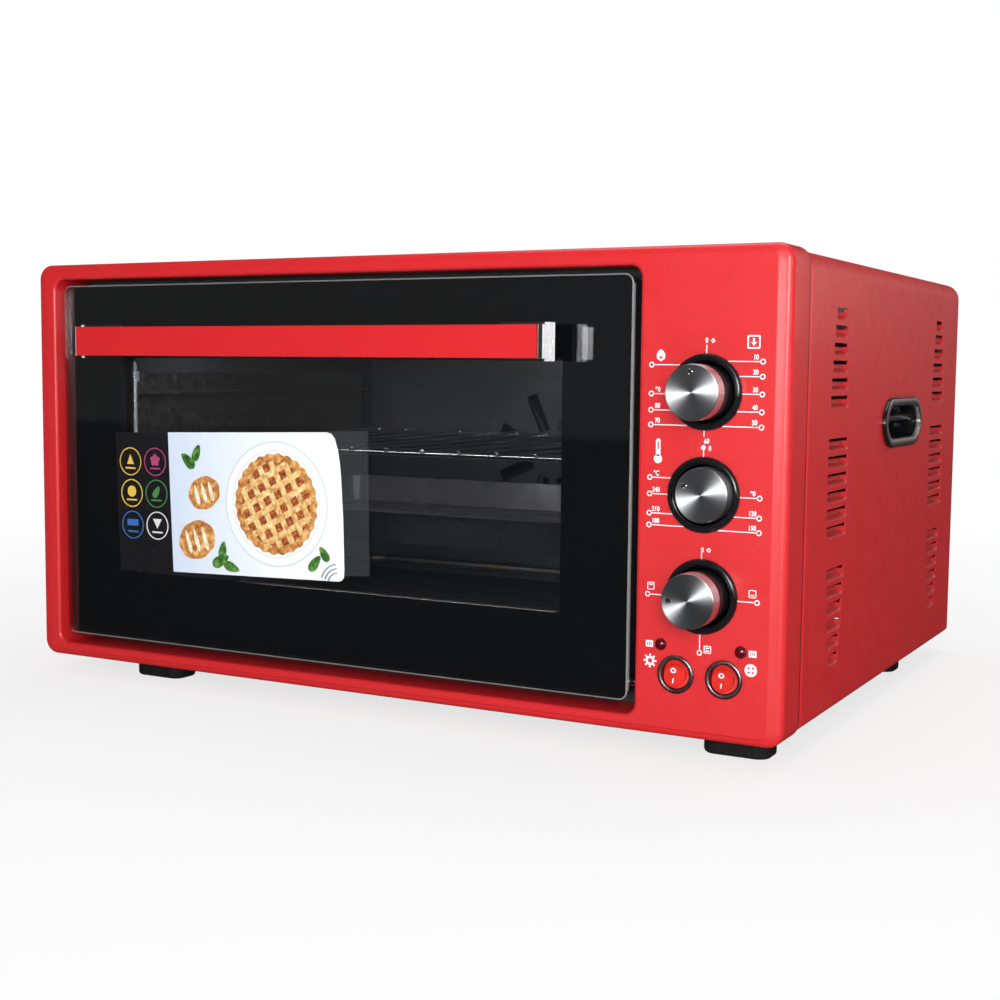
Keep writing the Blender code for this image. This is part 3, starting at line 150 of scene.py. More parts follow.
def ramp(made, source, stops):
    """Colours along a texture's values, as (position, colour) stops."""
    node = made.node_tree.nodes.new("ShaderNodeValToRGB")
    elements = node.color_ramp.elements
    while len(elements) < len(stops):
        elements.new(0.5)
    for element, (position, colour) in zip(elements, stops):
        element.position = position
        element.color = (*colour, 1.0)
    link_nodes(made, source, node.inputs["Fac"])
    return node.outputs["Color"]


def vary_colour(made, source, stops):
    link_nodes(made, ramp(made, source, stops), shader_of(made).inputs["Base Color"])


def vary(made, socket, source, low, high, start=0.3, end=0.7):
    """Move a socket between two values with a texture."""
    node = made.node_tree.nodes.new("ShaderNodeMapRange")
    node.inputs["From Min"].default_value = start
    node.inputs["From Max"].default_value = end
    node.inputs["To Min"].default_value = low
    node.inputs["To Max"].default_value = high
    link_nodes(made, source, node.inputs["Value"])
    link_nodes(made, node.outputs["Result"], shader_of(made).inputs[socket])


def add_bump(made, source, strength, distance):
    """Fine relief; a second call adds to the first."""
    node = made.node_tree.nodes.new("ShaderNodeBump")
    node.inputs["Strength"].default_value = strength
    node.inputs["Distance"].default_value = distance
    normal = shader_of(made).inputs["Normal"]
    if normal.is_linked:
        link_nodes(made, normal.links[0].from_socket, node.inputs["Normal"])
    link_nodes(made, source, node.inputs["Height"])
    link_nodes(made, node.outputs["Normal"], normal)


def painted(name, colour, roughness):
    """Satin powder paint: faint clouds, fine grain and orange peel."""
    made = make_material(name, colour, roughness, Coat_Weight=0.28, Coat_Roughness=0.18)
    grain = noise(made, 900.0, 2.0)
    darker = tuple(channel * 0.92 for channel in colour)
    lighter = tuple(min(1.0, channel * 1.06) for channel in colour)
    vary_colour(made, grain, ((0.30, darker), (0.52, colour), (0.72, lighter)))
    vary(made, "Roughness", noise(made, 60.0, 3.0), roughness - 0.04, roughness + 0.05)
    add_bump(made, noise(made, 1300.0, 2.0), 0.10, 0.00006)
    return made


def seam_shading(made, level):
    """Paint shadow into the narrow seam at a level along Y, and paint a highlight on the edge behind it."""
    tree = made.node_tree
    place = tree.nodes.new("ShaderNodeTexCoord")
    parts = tree.nodes.new("ShaderNodeSeparateXYZ")
    link_nodes(made, place.outputs["Object"], parts.inputs["Vector"])
    across = tree.nodes.new("ShaderNodeMapRange")
    across.inputs["From Min"].default_value = level - 0.010
    across.inputs["From Max"].default_value = level + 0.010
    link_nodes(made, parts.outputs["Y"], across.inputs["Value"])
    plain = (0.72, 0.72, 0.72)
    # painted shadow: a dark band in the seam; painted highlight: a white band on the cover's edge behind it,
    # lighter than the plain level of the rest
    stops = ((0.0, plain), (0.35, plain), (0.38, (0.10, 0.08, 0.08)), (0.52, (0.10, 0.08, 0.08)),
             (0.55, (1.0, 1.0, 1.0)), (0.80, (1.0, 1.0, 1.0)), (0.86, plain), (1.0, plain))
    painted_seam_light = ramp(made, across.outputs["Result"], stops)
    blend = tree.nodes.new("ShaderNodeMix")
    blend.data_type = "RGBA"
    blend.blend_type = "MULTIPLY"
    blend.inputs["Factor"].default_value = 1.0
    base = shader_of(made).inputs["Base Color"]
    link_nodes(made, base.links[0].from_socket, blend.inputs[6])
    link_nodes(made, painted_seam_light, blend.inputs[7])
    link_nodes(made, blend.outputs[2], base)
    return made


def plastic(name, colour, roughness):
    """Moulded plastic with a faint texture."""
    made = make_material(name, colour, roughness)
    lighter = tuple(channel * 1.5 + 0.004 for channel in colour)
    vary_colour(made, noise(made, 500.0), ((0.35, colour), (0.75, lighter)))
    vary(made, "Roughness", noise(made, 140.0), roughness - 0.04, roughness + 0.06)
    add_bump(made, noise(made, 2600.0, 1.0), 0.05, 0.00004)
    return made


def enamel(name, colour, roughness):
    """Vitreous enamel with pale specks."""
    made = make_material(name, colour, roughness)
    speck = tuple(channel * 2.2 + 0.01 for channel in colour)
    vary_colour(made, noise(made, 1400.0, 1.0), ((0.55, colour), (0.72, speck)))
    vary(made, "Roughness", noise(made, 45.0), roughness - 0.05, roughness + 0.10)
    add_bump(made, noise(made, 220.0, 2.0), 0.10, 0.0002)
    return made


def metal(name, colour, roughness, stretch=(1.0, 1.0, 1.0), scale=500.0, bump=0.05):
    """Bare or plated metal; an uneven stretch draws brush lines."""
    made = make_material(name, colour, roughness, 1.0)
    source = noise(made, scale, 4.0, stretch)
    darker = tuple(channel * 0.85 for channel in colour)
    vary_colour(made, source, ((0.30, darker), (0.70, colour)))
    vary(made, "Roughness", noise(made, scale * 0.3, 4.0, stretch), roughness * 0.8, roughness * 1.3)
    add_bump(made, source, bump, 0.00005)
    return made


def galvanised(name):
    """Zinc-coated sheet with its spangle."""
    made = make_material(name, (0.52, 0.53, 0.54), 0.42, 1.0)
    tree = made.node_tree
    place = tree.nodes.new("ShaderNodeTexCoord")
    cells = tree.nodes.new("ShaderNodeTexVoronoi")
    cells.inputs["Scale"].default_value = 140.0
    link_nodes(made, place.outputs["Object"], cells.inputs["Vector"])
    vary_colour(made, cells.outputs["Color"], ((0.2, (0.44, 0.45, 0.46)), (0.8, (0.62, 0.63, 0.64))))
    vary(made, "Roughness", cells.outputs["Color"], 0.34, 0.52)
    return made


def turned_steel(name, centre):
    """Brushed on a lathe: its shine fans out from the centre."""
    made = make_material(name, (0.66, 0.67, 0.68), 0.34, 1.0, Anisotropic=0.85, Anisotropic_Rotation=0.25)
    tangent = made.node_tree.nodes.new("ShaderNodeTangent")
    tangent.direction_type = "RADIAL"
    tangent.axis = "Y"
    link_nodes(made, tangent.outputs["Tangent"], shader_of(made).inputs["Tangent"])
    rings = turned_noise(made, centre, 6000.0)
    vary_colour(made, rings, ((0.30, (0.64, 0.66, 0.69)), (0.70, (0.80, 0.82, 0.85))))
    vary(made, "Roughness", turned_noise(made, centre, 3000.0), 0.30, 0.38)
    return made


def glass(name, colour, alpha, roughness=0.02):
    """Tinted pane: part of the light goes straight through."""
    made = make_material(name, colour, roughness, Alpha=alpha, IOR=2.4)
    vary(made, "Roughness", noise(made, 30.0), roughness * 0.6, roughness * 1.6)
    return made


def plastic_with_painted_glow(name, colour, roughness, painted_glow):
    """Clear coloured plastic; its emission is a painted glow that stands in for light in its depth, though it
    is no lamp.
    """
    made = make_material(name, colour, roughness, Emission_Color=(*colour, 1.0), Emission_Strength=painted_glow,
                         Coat_Weight=0.25, Coat_Roughness=0.10)
    darker = tuple(channel * 0.7 for channel in colour)
    vary_colour(made, noise(made, 160.0), ((0.3, darker), (0.7, colour)))
    return made


def ink(name, colour, roughness=0.45, **sockets):
    """A printed layer, a little uneven."""
    made = make_material(name, colour, roughness, **sockets)
    paler = tuple(min(1.0, channel * 1.08 + 0.01) for channel in colour)
    vary_colour(made, noise(made, 700.0), ((0.35, colour), (0.75, paler)))
    add_bump(made, noise(made, 1800.0, 1.0), 0.06, 0.00003)
    return made


def add_piece(name, mesh_data, made, body, replaces=()):
    """Link a piece built in the frame's coordinates and let it ride on its body."""
    mesh = bpy.data.meshes.new(name)
    bmesh.ops.recalc_face_normals(mesh_data, faces=mesh_data.faces)
    mesh_data.to_mesh(mesh)
    mesh_data.free()
    mesh.shade_smooth()
    mesh.set_sharp_from_angle(angle=SMOOTH_ANGLE)
    mesh.materials.append(made)
    piece = bpy.data.objects.new(name, mesh)
    bpy.context.scene.collection.objects.link(piece)
    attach(piece, body)
    if replaces:
        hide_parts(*replaces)
    return piece


def circle(across, up, radius, steps=SMALL_STEPS, start=0.0):
    turns = [start + step / steps * math.tau for step in range(steps)]
    return [(across + radius * math.cos(turn), up + radius * math.sin(turn)) for turn in turns]


def rounded_box(left, right, low, high, radius, steps=CORNER_STEPS):
    """Points of a rectangle with round corners."""
    centres = ((right - radius, low + radius, -math.pi / 2), (right - radius, high - radius, 0.0),
               (left + radius, high - radius, math.pi / 2), (left + radius, low + radius, math.pi))
    points = []
    for across, up, start in centres:
        for step in range(steps + 1):
            angle = start + step / steps * math.pi / 2
            points.append((across + radius * math.cos(angle), up + radius * math.sin(angle)))
    return points


def along_y(point, level):
    return Vector((point[0], level, point[1]))


def along_x(point, level):
    return Vector((level, point[0], point[1]))


def along_z(point, level):
    return Vector((point[0], point[1], level))


def add_ring(mesh, points, level, place=along_y):
    return [mesh.verts.new(place(point, level)) for point in points]


def bridge(mesh, first, second):
    count = len(first)
    for index in range(count):
        after = (index + 1) % count
        mesh.faces.new((first[index], first[after], second[after], second[index]))


def bridge_loop(mesh, rings):
    """Join rings one after the other, and the last to the first."""
    for ring, other in zip(rings, [*rings[1:], rings[0]]):
        bridge(mesh, ring, other)


def fill_between(mesh, rings):
    """A flat face with holes, filled between outlines."""
    edges = []
    for ring in rings:
        for index, vertex in enumerate(ring):
            other = ring[(index + 1) % len(ring)]
            edge = mesh.edges.get((vertex, other))
            edges.append(edge if edge else mesh.edges.new((vertex, other)))
    bmesh.ops.triangle_fill(mesh, use_beauty=True, use_dissolve=False, edges=edges)


def add_prism(mesh, outline, start, end, place=along_y, holes=()):
    """Add a closed solid: an outline with holes between two levels."""
    first = [add_ring(mesh, points, start, place) for points in (outline, *holes)]
    last = [add_ring(mesh, points, end, place) for points in (outline, *holes)]
    for ring, other in zip(first, last):
        bridge(mesh, ring, other)
    fill_between(mesh, first)
    fill_between(mesh, last)
    return mesh


def prism(outline, start, end, place=along_y, holes=()):
    return add_prism(bmesh.new(), outline, start, end, place, holes)


def loft(levels, place):
    """A closed solid through outlines with equal point counts."""
    mesh = bmesh.new()
    rings = [add_ring(mesh, points, level, place) for points, level in levels]
    for ring, other in zip(rings, rings[1:]):
        bridge(mesh, ring, other)
    mesh.faces.new(rings[0])
    mesh.faces.new(rings[-1])
    return mesh


def turned(profile, centre, steps=ROUND_STEPS, mesh=None):
    """A solid turned about an axis along Y from (radius, y) points; a radius of 0 closes it."""
    mesh = mesh or bmesh.new()
    rings = []
    for radius, level in profile:
        if radius:
            rings.append(add_ring(mesh, circle(*centre, radius, steps), level))
        else:
            rings.append([mesh.verts.new((centre[0], level, centre[1]))])
    pairs = list(zip(rings, rings[1:]))
    if profile[0][0] and profile[-1][0]:
        pairs.append((rings[-1], rings[0]))
    for ring, other in pairs:
        if len(ring) > 1 and len(other) > 1:
            bridge(mesh, ring, other)
        elif len(ring) + len(other) > 2:
            pole, rim = (ring[0], other) if len(ring) == 1 else (other[0], ring)
            for index, vertex in enumerate(rim):
                mesh.faces.new((pole, vertex, rim[(index + 1) % len(rim)]))
    return mesh


def arc_profile(centre, radius, start, end, steps=CORNER_STEPS):
    """(radius, y) points along an arc, angles in degrees from the radial direction towards +Y."""
    points = []
    for step in range(steps + 1):
        angle = math.radians(start + (end - start) * step / steps)
        points.append((centre[0] + radius * math.cos(angle), centre[1] + radius * math.sin(angle)))
    return points


def add_tube(mesh, points, radius, sides=10, closed=False):
    """Add a round wire along a path."""
    points = [Vector(point) for point in points]
    count = len(points)
    rings = []
    aside = None
    for index, point in enumerate(points):
        before = points[index - 1] if closed or index else point
        after = points[(index + 1) % count] if closed or index < count - 1 else point
        along = (after - before).normalized()
        if aside is None:
            aside = along.orthogonal().normalized()
        aside = (aside - along * aside.dot(along)).normalized()
        other = along.cross(aside)
        ring = []
        for step in range(sides):
            turn = step / sides * math.tau
            ring.append(mesh.verts.new(point + (aside * math.cos(turn) + other * math.sin(turn)) * radius))
        rings.append(ring)
    for ring, after in zip(rings, rings[1:]):
        bridge(mesh, ring, after)
    if closed:
        bridge(mesh, rings[-1], rings[0])
    else:
        mesh.faces.new(rings[0])
        mesh.faces.new(rings[-1])
    return mesh


def centre_of(node):
    """The (x, z) of a node's middle."""
    low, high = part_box(node)
    return ((low.x + high.x) / 2, (low.z + high.z) / 2)


def dress_nodes(nodes, table):
    """Give the CAD nodes that stay their finish."""
    for made, names in table:
        for name in names:
            for slot in nodes[name].material_slots:
                slot.material = made
            if not nodes[name].material_slots:
                nodes[name].data.materials.append(made)


class Panel:
    """Printing on the front panel, in millimetres from the knobs' axis and the frame's lower edge."""

    def __init__(self, front, axis, bottom):
        self.front = front
        self.axis = axis
        self.bottom = bottom
        self.mesh = bmesh.new()

    def place(self, point):
        return (self.axis + point[0] * MM, self.bottom + point[1] * MM)

    def shape(self, outline, holes=()):
        outline = [self.place(point) for point in outline]
        holes = [[self.place(point) for point in hole] for hole in holes]
        add_prism(self.mesh, outline, self.front - INK, self.front, along_y, holes)

    def line(self, start, end, width=INK_LINE):
        along = (Vector(end) - Vector(start)).normalized()
        aside = Vector((-along.y, along.x)) * width / 2
        start, end = Vector(start), Vector(end)
        self.shape([tuple(start - aside), tuple(end - aside), tuple(end + aside), tuple(start + aside)])

    def ring(self, centre, outer, inner, steps=SMALL_STEPS):
        self.shape(circle(*centre, outer, steps), [circle(*centre, inner, steps)])

    def disc(self, centre, radius, steps=SMALL_STEPS):
        self.shape(circle(*centre, radius, steps))

    def box(self, left, right, low, high, corner=0.4):
        self.shape(rounded_box(left, right, low, high, corner, 3))

    def frame(self, left, right, low, high, width, corner=0.8):
        hole = rounded_box(left + width, right - width, low + width, high - width, corner / 2, 3)
        self.shape(rounded_box(left, right, low, high, corner, 3), [hole])

    def text(self, words, middle, low, size=DIGIT_SIZE, squeeze=0.82):
        """Generic figures, centred on a place."""
        curve = bpy.data.curves.new("figures", "FONT")
        curve.body = words
        curve.size = size * MM
        curve.align_x = "CENTER"
        curve.offset = DIGIT_BOLD
        curve.extrude = INK / 2
        holder = bpy.data.objects.new("figures", curve)
        data = bpy.data.meshes.new_from_object(holder)
        across, up = self.place((middle, low))
        turn = Matrix.Rotation(math.pi / 2, 4, "X") @ Matrix.Diagonal((squeeze, 1.0, 1.0, 1.0))
        data.transform(Matrix.Translation((across, self.front - INK / 2, up)) @ turn)
        self.mesh.from_mesh(data)
        bpy.data.meshes.remove(data)
        bpy.data.objects.remove(holder)
        bpy.data.curves.remove(curve)


def bezel_edge(height, middle):
    """How far the bezel reaches sideways at a height beside its centre."""
    return math.sqrt(max(0.0, BEZEL_EDGE ** 2 - (height - middle) ** 2))


def dial_marks(panel, marks, middle):
    """Lines with end rings and figures on both sides of a dial."""
    for side, height, label in marks:
        way = 1 if side == "right" else -1
        panel.line((way * bezel_edge(height, middle), height), (way * (MARK_REACH - RING_INNER), height))
        panel.ring((way * MARK_REACH, height), RING_OUTER, RING_INNER)
        if label:
            panel.text(label, way * 31.0, height + 1.3)


def timer_print(panel):
    middle = 213.2
    dial_marks(panel, TIMER_MARKS, middle)
    panel.line((0.0, middle + BEZEL_EDGE), (0.0, 241.4))
    panel.text("0", 0.0, 242.8)
    panel.ring((4.0, 244.0), 1.5, 0.7, 4)
    panel.line((-0.6, middle - BEZEL_EDGE), (-0.6, 186.4))
    panel.text("60", 1.2, 182.4)
    # The bell over the manual setting
    panel.shape([(-32.0, 233.0), (-32.2, 235.8), (-30.9, 237.7), (-29.4, 238.8), (-27.9, 237.7),
                 (-26.6, 235.8), (-26.8, 233.0), (-29.4, 231.4)],
                [[(-31.0, 234.4), (-27.8, 234.4), (-29.4, 232.6)]])
    # The push-to-release sign
    panel.frame(25.4, 33.5, 239.2, 247.2, 0.9)
    panel.line((29.4, 245.4), (29.4, 242.6), 1.2)
    panel.shape([(27.4, 243.4), (29.4, 240.9), (31.6, 243.4), (29.4, 242.6)])


def thermometer(panel):
    tube = (-30.1, 184.4)
    panel.shape(rounded_box(tube[0] - 1.5, tube[0] + 1.5, 173.6, tube[1], 1.4),
                [rounded_box(tube[0] - 0.5, tube[0] + 0.5, 177.8, 182.6, 0.45, 3)])
    panel.disc((tube[0], 172.0), 2.7)


def thermostat_print(panel):
    middle = 151.2
    dial_marks(panel, THERMOSTAT_MARKS, middle)
    panel.line((-0.6, middle + BEZEL_EDGE), (-0.6, 178.4))
    panel.disc((-0.8, 179.8), 1.5)
    panel.text("0", 3.4, 178.1)
    thermometer(panel)


def heat_icon(panel, left, low, top, bottom):
    """A small cavity with a bar for each heater that is on."""
    size = 4.8
    panel.frame(left, left + size, low, low + size, 0.55, 0.7)
    if top:
        panel.line((left + 1.2, low + size - 1.5), (left + size - 1.2, low + size - 1.5), 0.8)
    if bottom:
        panel.line((left + 1.2, low + 1.5), (left + size - 1.2, low + 1.5), 0.8)


def selector_print(panel):
    middle = 89.2
    panel.line((-0.5, middle + BEZEL_EDGE), (-0.5, 116.4))
    panel.text("0", 0.0, 116.4)
    panel.ring((4.1, 117.8), 1.3, 0.6)
    for side, height, bars in ((-1, 88.2, (True, False)), (1, 88.3, (False, True))):
        panel.line((side * bezel_edge(height, middle), height), (side * (MARK_REACH - RING_INNER), height))
        panel.ring((side * MARK_REACH, height), RING_OUTER, RING_INNER)
        heat_icon(panel, 29.9 if side > 0 else -35.6, 91.0, *bars)
    panel.line((-0.5, middle - BEZEL_EDGE), (-0.5, 55.8))
    panel.ring((-0.5, 54.6), RING_OUTER, RING_INNER)
    heat_icon(panel, 2.2, 54.6, True, True)


def gear_outline(centre, outer, inner, teeth):
    points = []
    for tooth in range(teeth):
        for share, radius in ((-0.24, inner), (-0.16, outer), (0.16, outer), (0.24, inner)):
            turn = (tooth + share) / teeth * math.tau
            points.append((centre[0] + radius * math.cos(turn), centre[1] + radius * math.sin(turn)))
    return points


def lamp_print(panel):
    """Signs beside the lamps and switches."""
    for left, low in ((-35.9, 55.2), (30.9, 55.1)):
        holes = [rounded_box(left + 1.0 + step * 1.1, left + 1.6 + step * 1.1, low + 1.0, low + 3.1, 0.25, 2)
                 for step in range(3)]
        panel.shape(rounded_box(left, left + 4.9, low, low + 4.1, 0.4, 3), holes)
    centre = (-32.9, 46.6)
    panel.shape(gear_outline(centre, 4.4, 2.9, 8), [circle(*centre, 1.5)])
    centre = (32.4, 47.1)
    blades = []
    for blade in range(4):
        turn = (blade + 0.5) / 4 * math.tau
        middle = (centre[0] + 1.9 * math.cos(turn), centre[1] + 1.9 * math.sin(turn))
        blades.append(circle(*middle, 0.75, 16))
    panel.shape(circle(*centre, 3.9), blades)


def printed_marks(white):
    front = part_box("front_frame")[0]
    for name, draw in (("timer_marks", timer_print), ("thermostat_marks", thermostat_print),
                       ("selector_marks", selector_print), ("lamp_marks", lamp_print)):
        panel = Panel(front.y, centre_of("timer_bezel")[0], front.z)
        draw(panel)
        add_piece(name, panel.mesh, white, "casing")


BEZEL_STAND = 0.0030
BEZEL_BORE = 0.0034
DIALS = ("timer", "thermostat", "selector")
SIDES = (("left", -1), ("right", 1))


def bezels(black):
    """Glossy rings with a rounded rim, an inner step and the well for the knob."""
    for name in DIALS:
        node = name + "_bezel"
        low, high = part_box(node)
        outer = (high.x - low.x) / 2
        face = low.y
        back = high.y
        panel_face = face + BEZEL_STAND
        profile = [(0.0188, back - 0.0006), (0.0188, face + 0.0022)]
        profile += arc_profile((0.0196, face + 0.0018), 0.0008, 180, 270)
        profile += [(0.0200, face + 0.0010), (0.0203, face + 0.0016)]
        profile += arc_profile((outer - 0.0022, face + 0.0022), 0.0022, -110, 0)
        profile += [(outer, panel_face - 0.0002), (0.0205, panel_face - 0.0002), (0.0205, back),
                    (BEZEL_BORE, back), (BEZEL_BORE, back - 0.0005), (0.0150, back - 0.0006)]
        add_piece(node + "_ring", turned(profile, centre_of(node)), black, "casing", [node])


KNOB_RADIUS = 0.0168
SKIRT = 0.0105
CUP_ROUND = 0.0007
CUP_WALL = 0.0005
CORE_GAP = 0.0002
SHAFT_BORE = 0.0034
POINTER_REACH = 0.0122
POINTERS = {"timer": 96.0, "thermostat": 154.0, "selector": 182.0}


def knobs(black, shade, rim):
    """A steel cup over a black core, with a dark disc of painted shade for its pointer hole, and the ring
    round it.
    """
    for name, angle in POINTERS.items():
        body = name + "_dial"
        centre = centre_of(name + "_knob_cap")
        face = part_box(name + "_knob_cap")[0].y
        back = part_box(name + "_knob")[1].y
        radius = KNOB_RADIUS
        inside = radius - CUP_WALL
        bend = radius - CUP_ROUND
        cup = [(0.0, face), (bend, face)]
        cup += arc_profile((bend, face + CUP_ROUND), CUP_ROUND, -90, 0)
        cup += [(radius, face + SKIRT), (inside, face + SKIRT), (inside, face + 0.0012), (0.0, face + 0.0012)]
        steel = turned_steel(name + "_cap_steel", (centre[0], 0.0, centre[1]))
        add_piece(name + "_cap_cup", turned(cup, centre), steel, body, [name + "_knob_cap"])
        core = [(0.0, face + 0.0014), (bend, face + 0.0014), (bend, face + SKIRT - CORE_GAP),
                (radius - CORE_GAP, face + SKIRT + 2 * CORE_GAP), (radius - CORE_GAP, back),
                (SHAFT_BORE, back), (SHAFT_BORE, face + 0.0026), (0.0, face + 0.0026)]
        add_piece(name + "_knob_core", turned(core, centre), black, body, [name + "_knob"])
        turn = math.radians(angle)
        spot = (centre[0] + POINTER_REACH * math.cos(turn), centre[1] + POINTER_REACH * math.sin(turn))
        ring = turned([(0.00105, face), (0.00125, face - 0.00022), (0.00155, face - 0.00022),
                       (0.0018, face)], spot, SMALL_STEPS)
        add_piece(name + "_pointer_ring", ring, rim, body)
        # The cup has no hole here: the dark disc is painted shade standing in for the pointer hole
        hole = turned([(0.0, face - 0.00006), (0.0011, face - 0.00006), (0.0011, face + 0.0001),
                       (0.0, face + 0.0001)], spot, SMALL_STEPS)
        add_piece(name + "_pointer_shade_disc", hole, shade, body)


def switches(grey, red, white):
    """Round rocker switches: metallised ring, red rocker and its two marks."""
    for side in ("left", "right"):
        node = "switch_body_" + side
        low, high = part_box(node)
        centre = centre_of(node)
        outer = (high.x - low.x) / 2
        face = low.y
        profile = [(0.0, face + 0.0096), (0.0093, face + 0.0096), (0.0093, face + 0.0006)]
        profile += arc_profile((0.0097, face + 0.0005), 0.0004, 180, 260, 3)
        profile += arc_profile((outer - 0.0011, face + 0.0012), 0.0012, -95, 0)
        profile += [(outer + 0.0001, face + 0.0018), (0.0104, face + 0.0018), (0.0104, high.y), (0.0, high.y)]
        add_piece(node + "_ring", turned(profile, centre), grey, "casing", [node])
        rocker(side, centre, red, white)


ROCKER_TILT = math.radians(-7)
ROCKER_SET_BACK = 0.0015
ROCKER_RADIUS = 0.0088
ROCKER_VALLEY = 0.0021
ROCKER_TIP = 0.0044
ROCKER_STEPS = 48
ROCKER_SKIRT = 0.0022
BUTTON_MIDDLE = (-0.0007, -0.0011)
# The dished button's rings: share of the rocker's radius, and drop below the dish
BUTTON_RINGS = ((0.2, 0.0), (0.4, 0.0), (0.6, 0.0), (0.76, 0.0), (0.79, 0.0003), (0.80, 0.0026),
                (1.0, 0.0028))
MARK_INK = 0.00015
MARK_GAP = 0.0001


def rocker_level(height):
    """How far the rocker's face stands out of its pivot at a height from its middle."""
    share = abs(height) / ROCKER_RADIUS
    return ROCKER_VALLEY + (ROCKER_TIP - ROCKER_VALLEY) * share ** 1.25


def rocker(side, centre, red, white):
    """A dished button on a round rocker, tilted to off, with an oval and a bar printed on it."""
    pivot = Vector((centre[0], FRONT_Y + ROCKER_SET_BACK, centre[1]))
    turn = Matrix.Translation(pivot) @ Matrix.Rotation(ROCKER_TILT, 4, "X")
    mesh = bmesh.new()
    pole = mesh.verts.new((BUTTON_MIDDLE[0], -rocker_level(BUTTON_MIDDLE[1]), BUTTON_MIDDLE[1]))
    rings = [[pole]]
    for share, drop in BUTTON_RINGS:
        middle = (0.0, 0.0) if share == 1.0 else BUTTON_MIDDLE
        rings.append([mesh.verts.new((x, -(rocker_level(z) - drop), z))
                      for x, z in circle(*middle, ROCKER_RADIUS * share, ROCKER_STEPS)])
    rings.append(add_ring(mesh, circle(0.0, 0.0, ROCKER_RADIUS, ROCKER_STEPS), ROCKER_SKIRT))
    for index, vertex in enumerate(rings[1]):
        mesh.faces.new((pole, vertex, rings[1][(index + 1) % ROCKER_STEPS]))
    for ring, other in zip(rings[1:], rings[2:]):
        bridge(mesh, ring, other)
    mesh.faces.new(rings[-1])
    bmesh.ops.transform(mesh, matrix=turn, verts=mesh.verts)
    add_piece("rocker_face_" + side, mesh, red, "rocker_" + side, ["switch_rocker_" + side])
    marks = bmesh.new()
    for outline, holes in (([(x * 0.0019 - 0.0014, 0.0021 + z * 0.0016) for x, z in circle(0, 0, 1.0)],
                            [[(x * 0.0010 - 0.0014, 0.0021 + z * 0.0008) for x, z in circle(0, 0, 1.0)]]),
                           (rounded_box(-0.0014, -0.0006, -0.0056, -0.0026, 0.0003, 3), [])):
        mark = prism(outline, 0.0, MARK_INK, along_y, holes)
        for vertex in mark.verts:
            vertex.co.y -= rocker_level(vertex.co.z) + MARK_GAP
        data = bpy.data.meshes.new("mark")
        mark.to_mesh(data)
        mark.free()
        marks.from_mesh(data)
        bpy.data.meshes.remove(data)
    bmesh.ops.transform(marks, matrix=turn, verts=marks.verts)
    add_piece("rocker_marks_" + side, marks, white, "rocker_" + side)


LENS_STAND = 0.0030
LENS_EDGE = 0.0004
LENS_RISE = 0.0026
LENS_STEM = 0.0031
LENS_STEPS = 8


def lamp_lenses(red):
    """Domed lenses on short stems."""
    for side in ("left", "right"):
        node = "lamp_lens_" + side
        low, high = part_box(node)
        radius = (high.x - low.x) / 2
        panel_face = low.y + LENS_STAND
        profile = [(0.0, low.y)]
        for step in range(1, LENS_STEPS + 1):
            angle = step / LENS_STEPS * math.pi / 2
            level = panel_face - LENS_EDGE - LENS_RISE * math.cos(angle)
            profile.append((radius * math.sin(angle), level))
        profile += [(radius, panel_face - 0.0001), (LENS_STEM, panel_face - 0.0001), (LENS_STEM, high.y),
                    (0.0, high.y)]
        add_piece(node + "_dome", turned(profile, centre_of(node), SMALL_STEPS), red, "casing", [node])


# Louvres in the sides
LOUVRE_ROWS = 6
LOUVRE_PITCH = 0.0113
LOUVRE_HEIGHT = 0.008
LOUVRE_LONG = 0.046
LOUVRE_SHORT = 0.023
LOUVRE_SET_BACKS = (0.107, 0.388)
LOUVRE_GROUPS = (0.2349, 0.151, 0.0666)
LOUVRE_DEPTH = 0.0042
FLAP_REACH = 0.70
FLAP_BEND = 0.62
FLAP_ENDS = 0.0055
FLAP_SHEET = 0.0008
FRONT_Y = -0.2205
FRAME_BOTTOM = 0.013


def louvre_rows():
    """Height and width of each louvre in a column: short at both ends of it, long in the middle."""
    shifts = [(row - (LOUVRE_ROWS - 1) / 2) * LOUVRE_PITCH for row in range(LOUVRE_ROWS)]
    rows = [FRAME_BOTTOM + group + shift for group in LOUVRE_GROUPS for shift in shifts]
    middle = (max(rows) + min(rows)) / 2
    for row in rows:
        away = (row - middle) / (max(rows) - middle)
        yield row, LOUVRE_LONG - (LOUVRE_LONG - LOUVRE_SHORT) * away * away


def smooth_step(share):
    share = min(1.0, max(0.0, share))
    return share * share * (3.0 - 2.0 * share)


def flap(mesh, wall, side, middle_y, row, width):
    """One pressed-in flap: joined below and at its ends, open along its top."""
    ends = FLAP_ENDS
    across = [0.0, 0.0018, 0.0036, ends] + [ends + (width - 2 * ends) * step / 4 for step in range(1, 4)]
    across += [width - ends, width - 0.0036, width - 0.0018, width]
    grid = []
    for share in (0.0, 0.12, 0.25, 0.4, 0.55, 0.7, 0.85, 1.0):
        line = []
        for place in across:
            end = smooth_step(min(place, width - place) / ends)
            deep = LOUVRE_DEPTH * smooth_step(share / FLAP_BEND) * end
            line.append(mesh.verts.new((wall - side * deep, middle_y - width / 2 + place,
                                        row - LOUVRE_HEIGHT / 2 + LOUVRE_HEIGHT * FLAP_REACH * share)))
        grid.append(line)
    for line, other in zip(grid, grid[1:]):
        for index in range(len(line) - 1):
            face = (line[index], line[index + 1], other[index + 1], other[index])
            mesh.faces.new(face if side > 0 else face[::-1])


def louvre_flaps(paint):
    """Every louvre's flap: one mesh for each side."""
    for name, side in SIDES:
        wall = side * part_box("outer_cover")[1].x
        mesh = bmesh.new()
        for set_back in LOUVRE_SET_BACKS:
            for row, width in louvre_rows():
                flap(mesh, wall, side, FRONT_Y + set_back, row, width)
        sheet("louvre_flaps_" + name, mesh, paint, FLAP_SHEET)


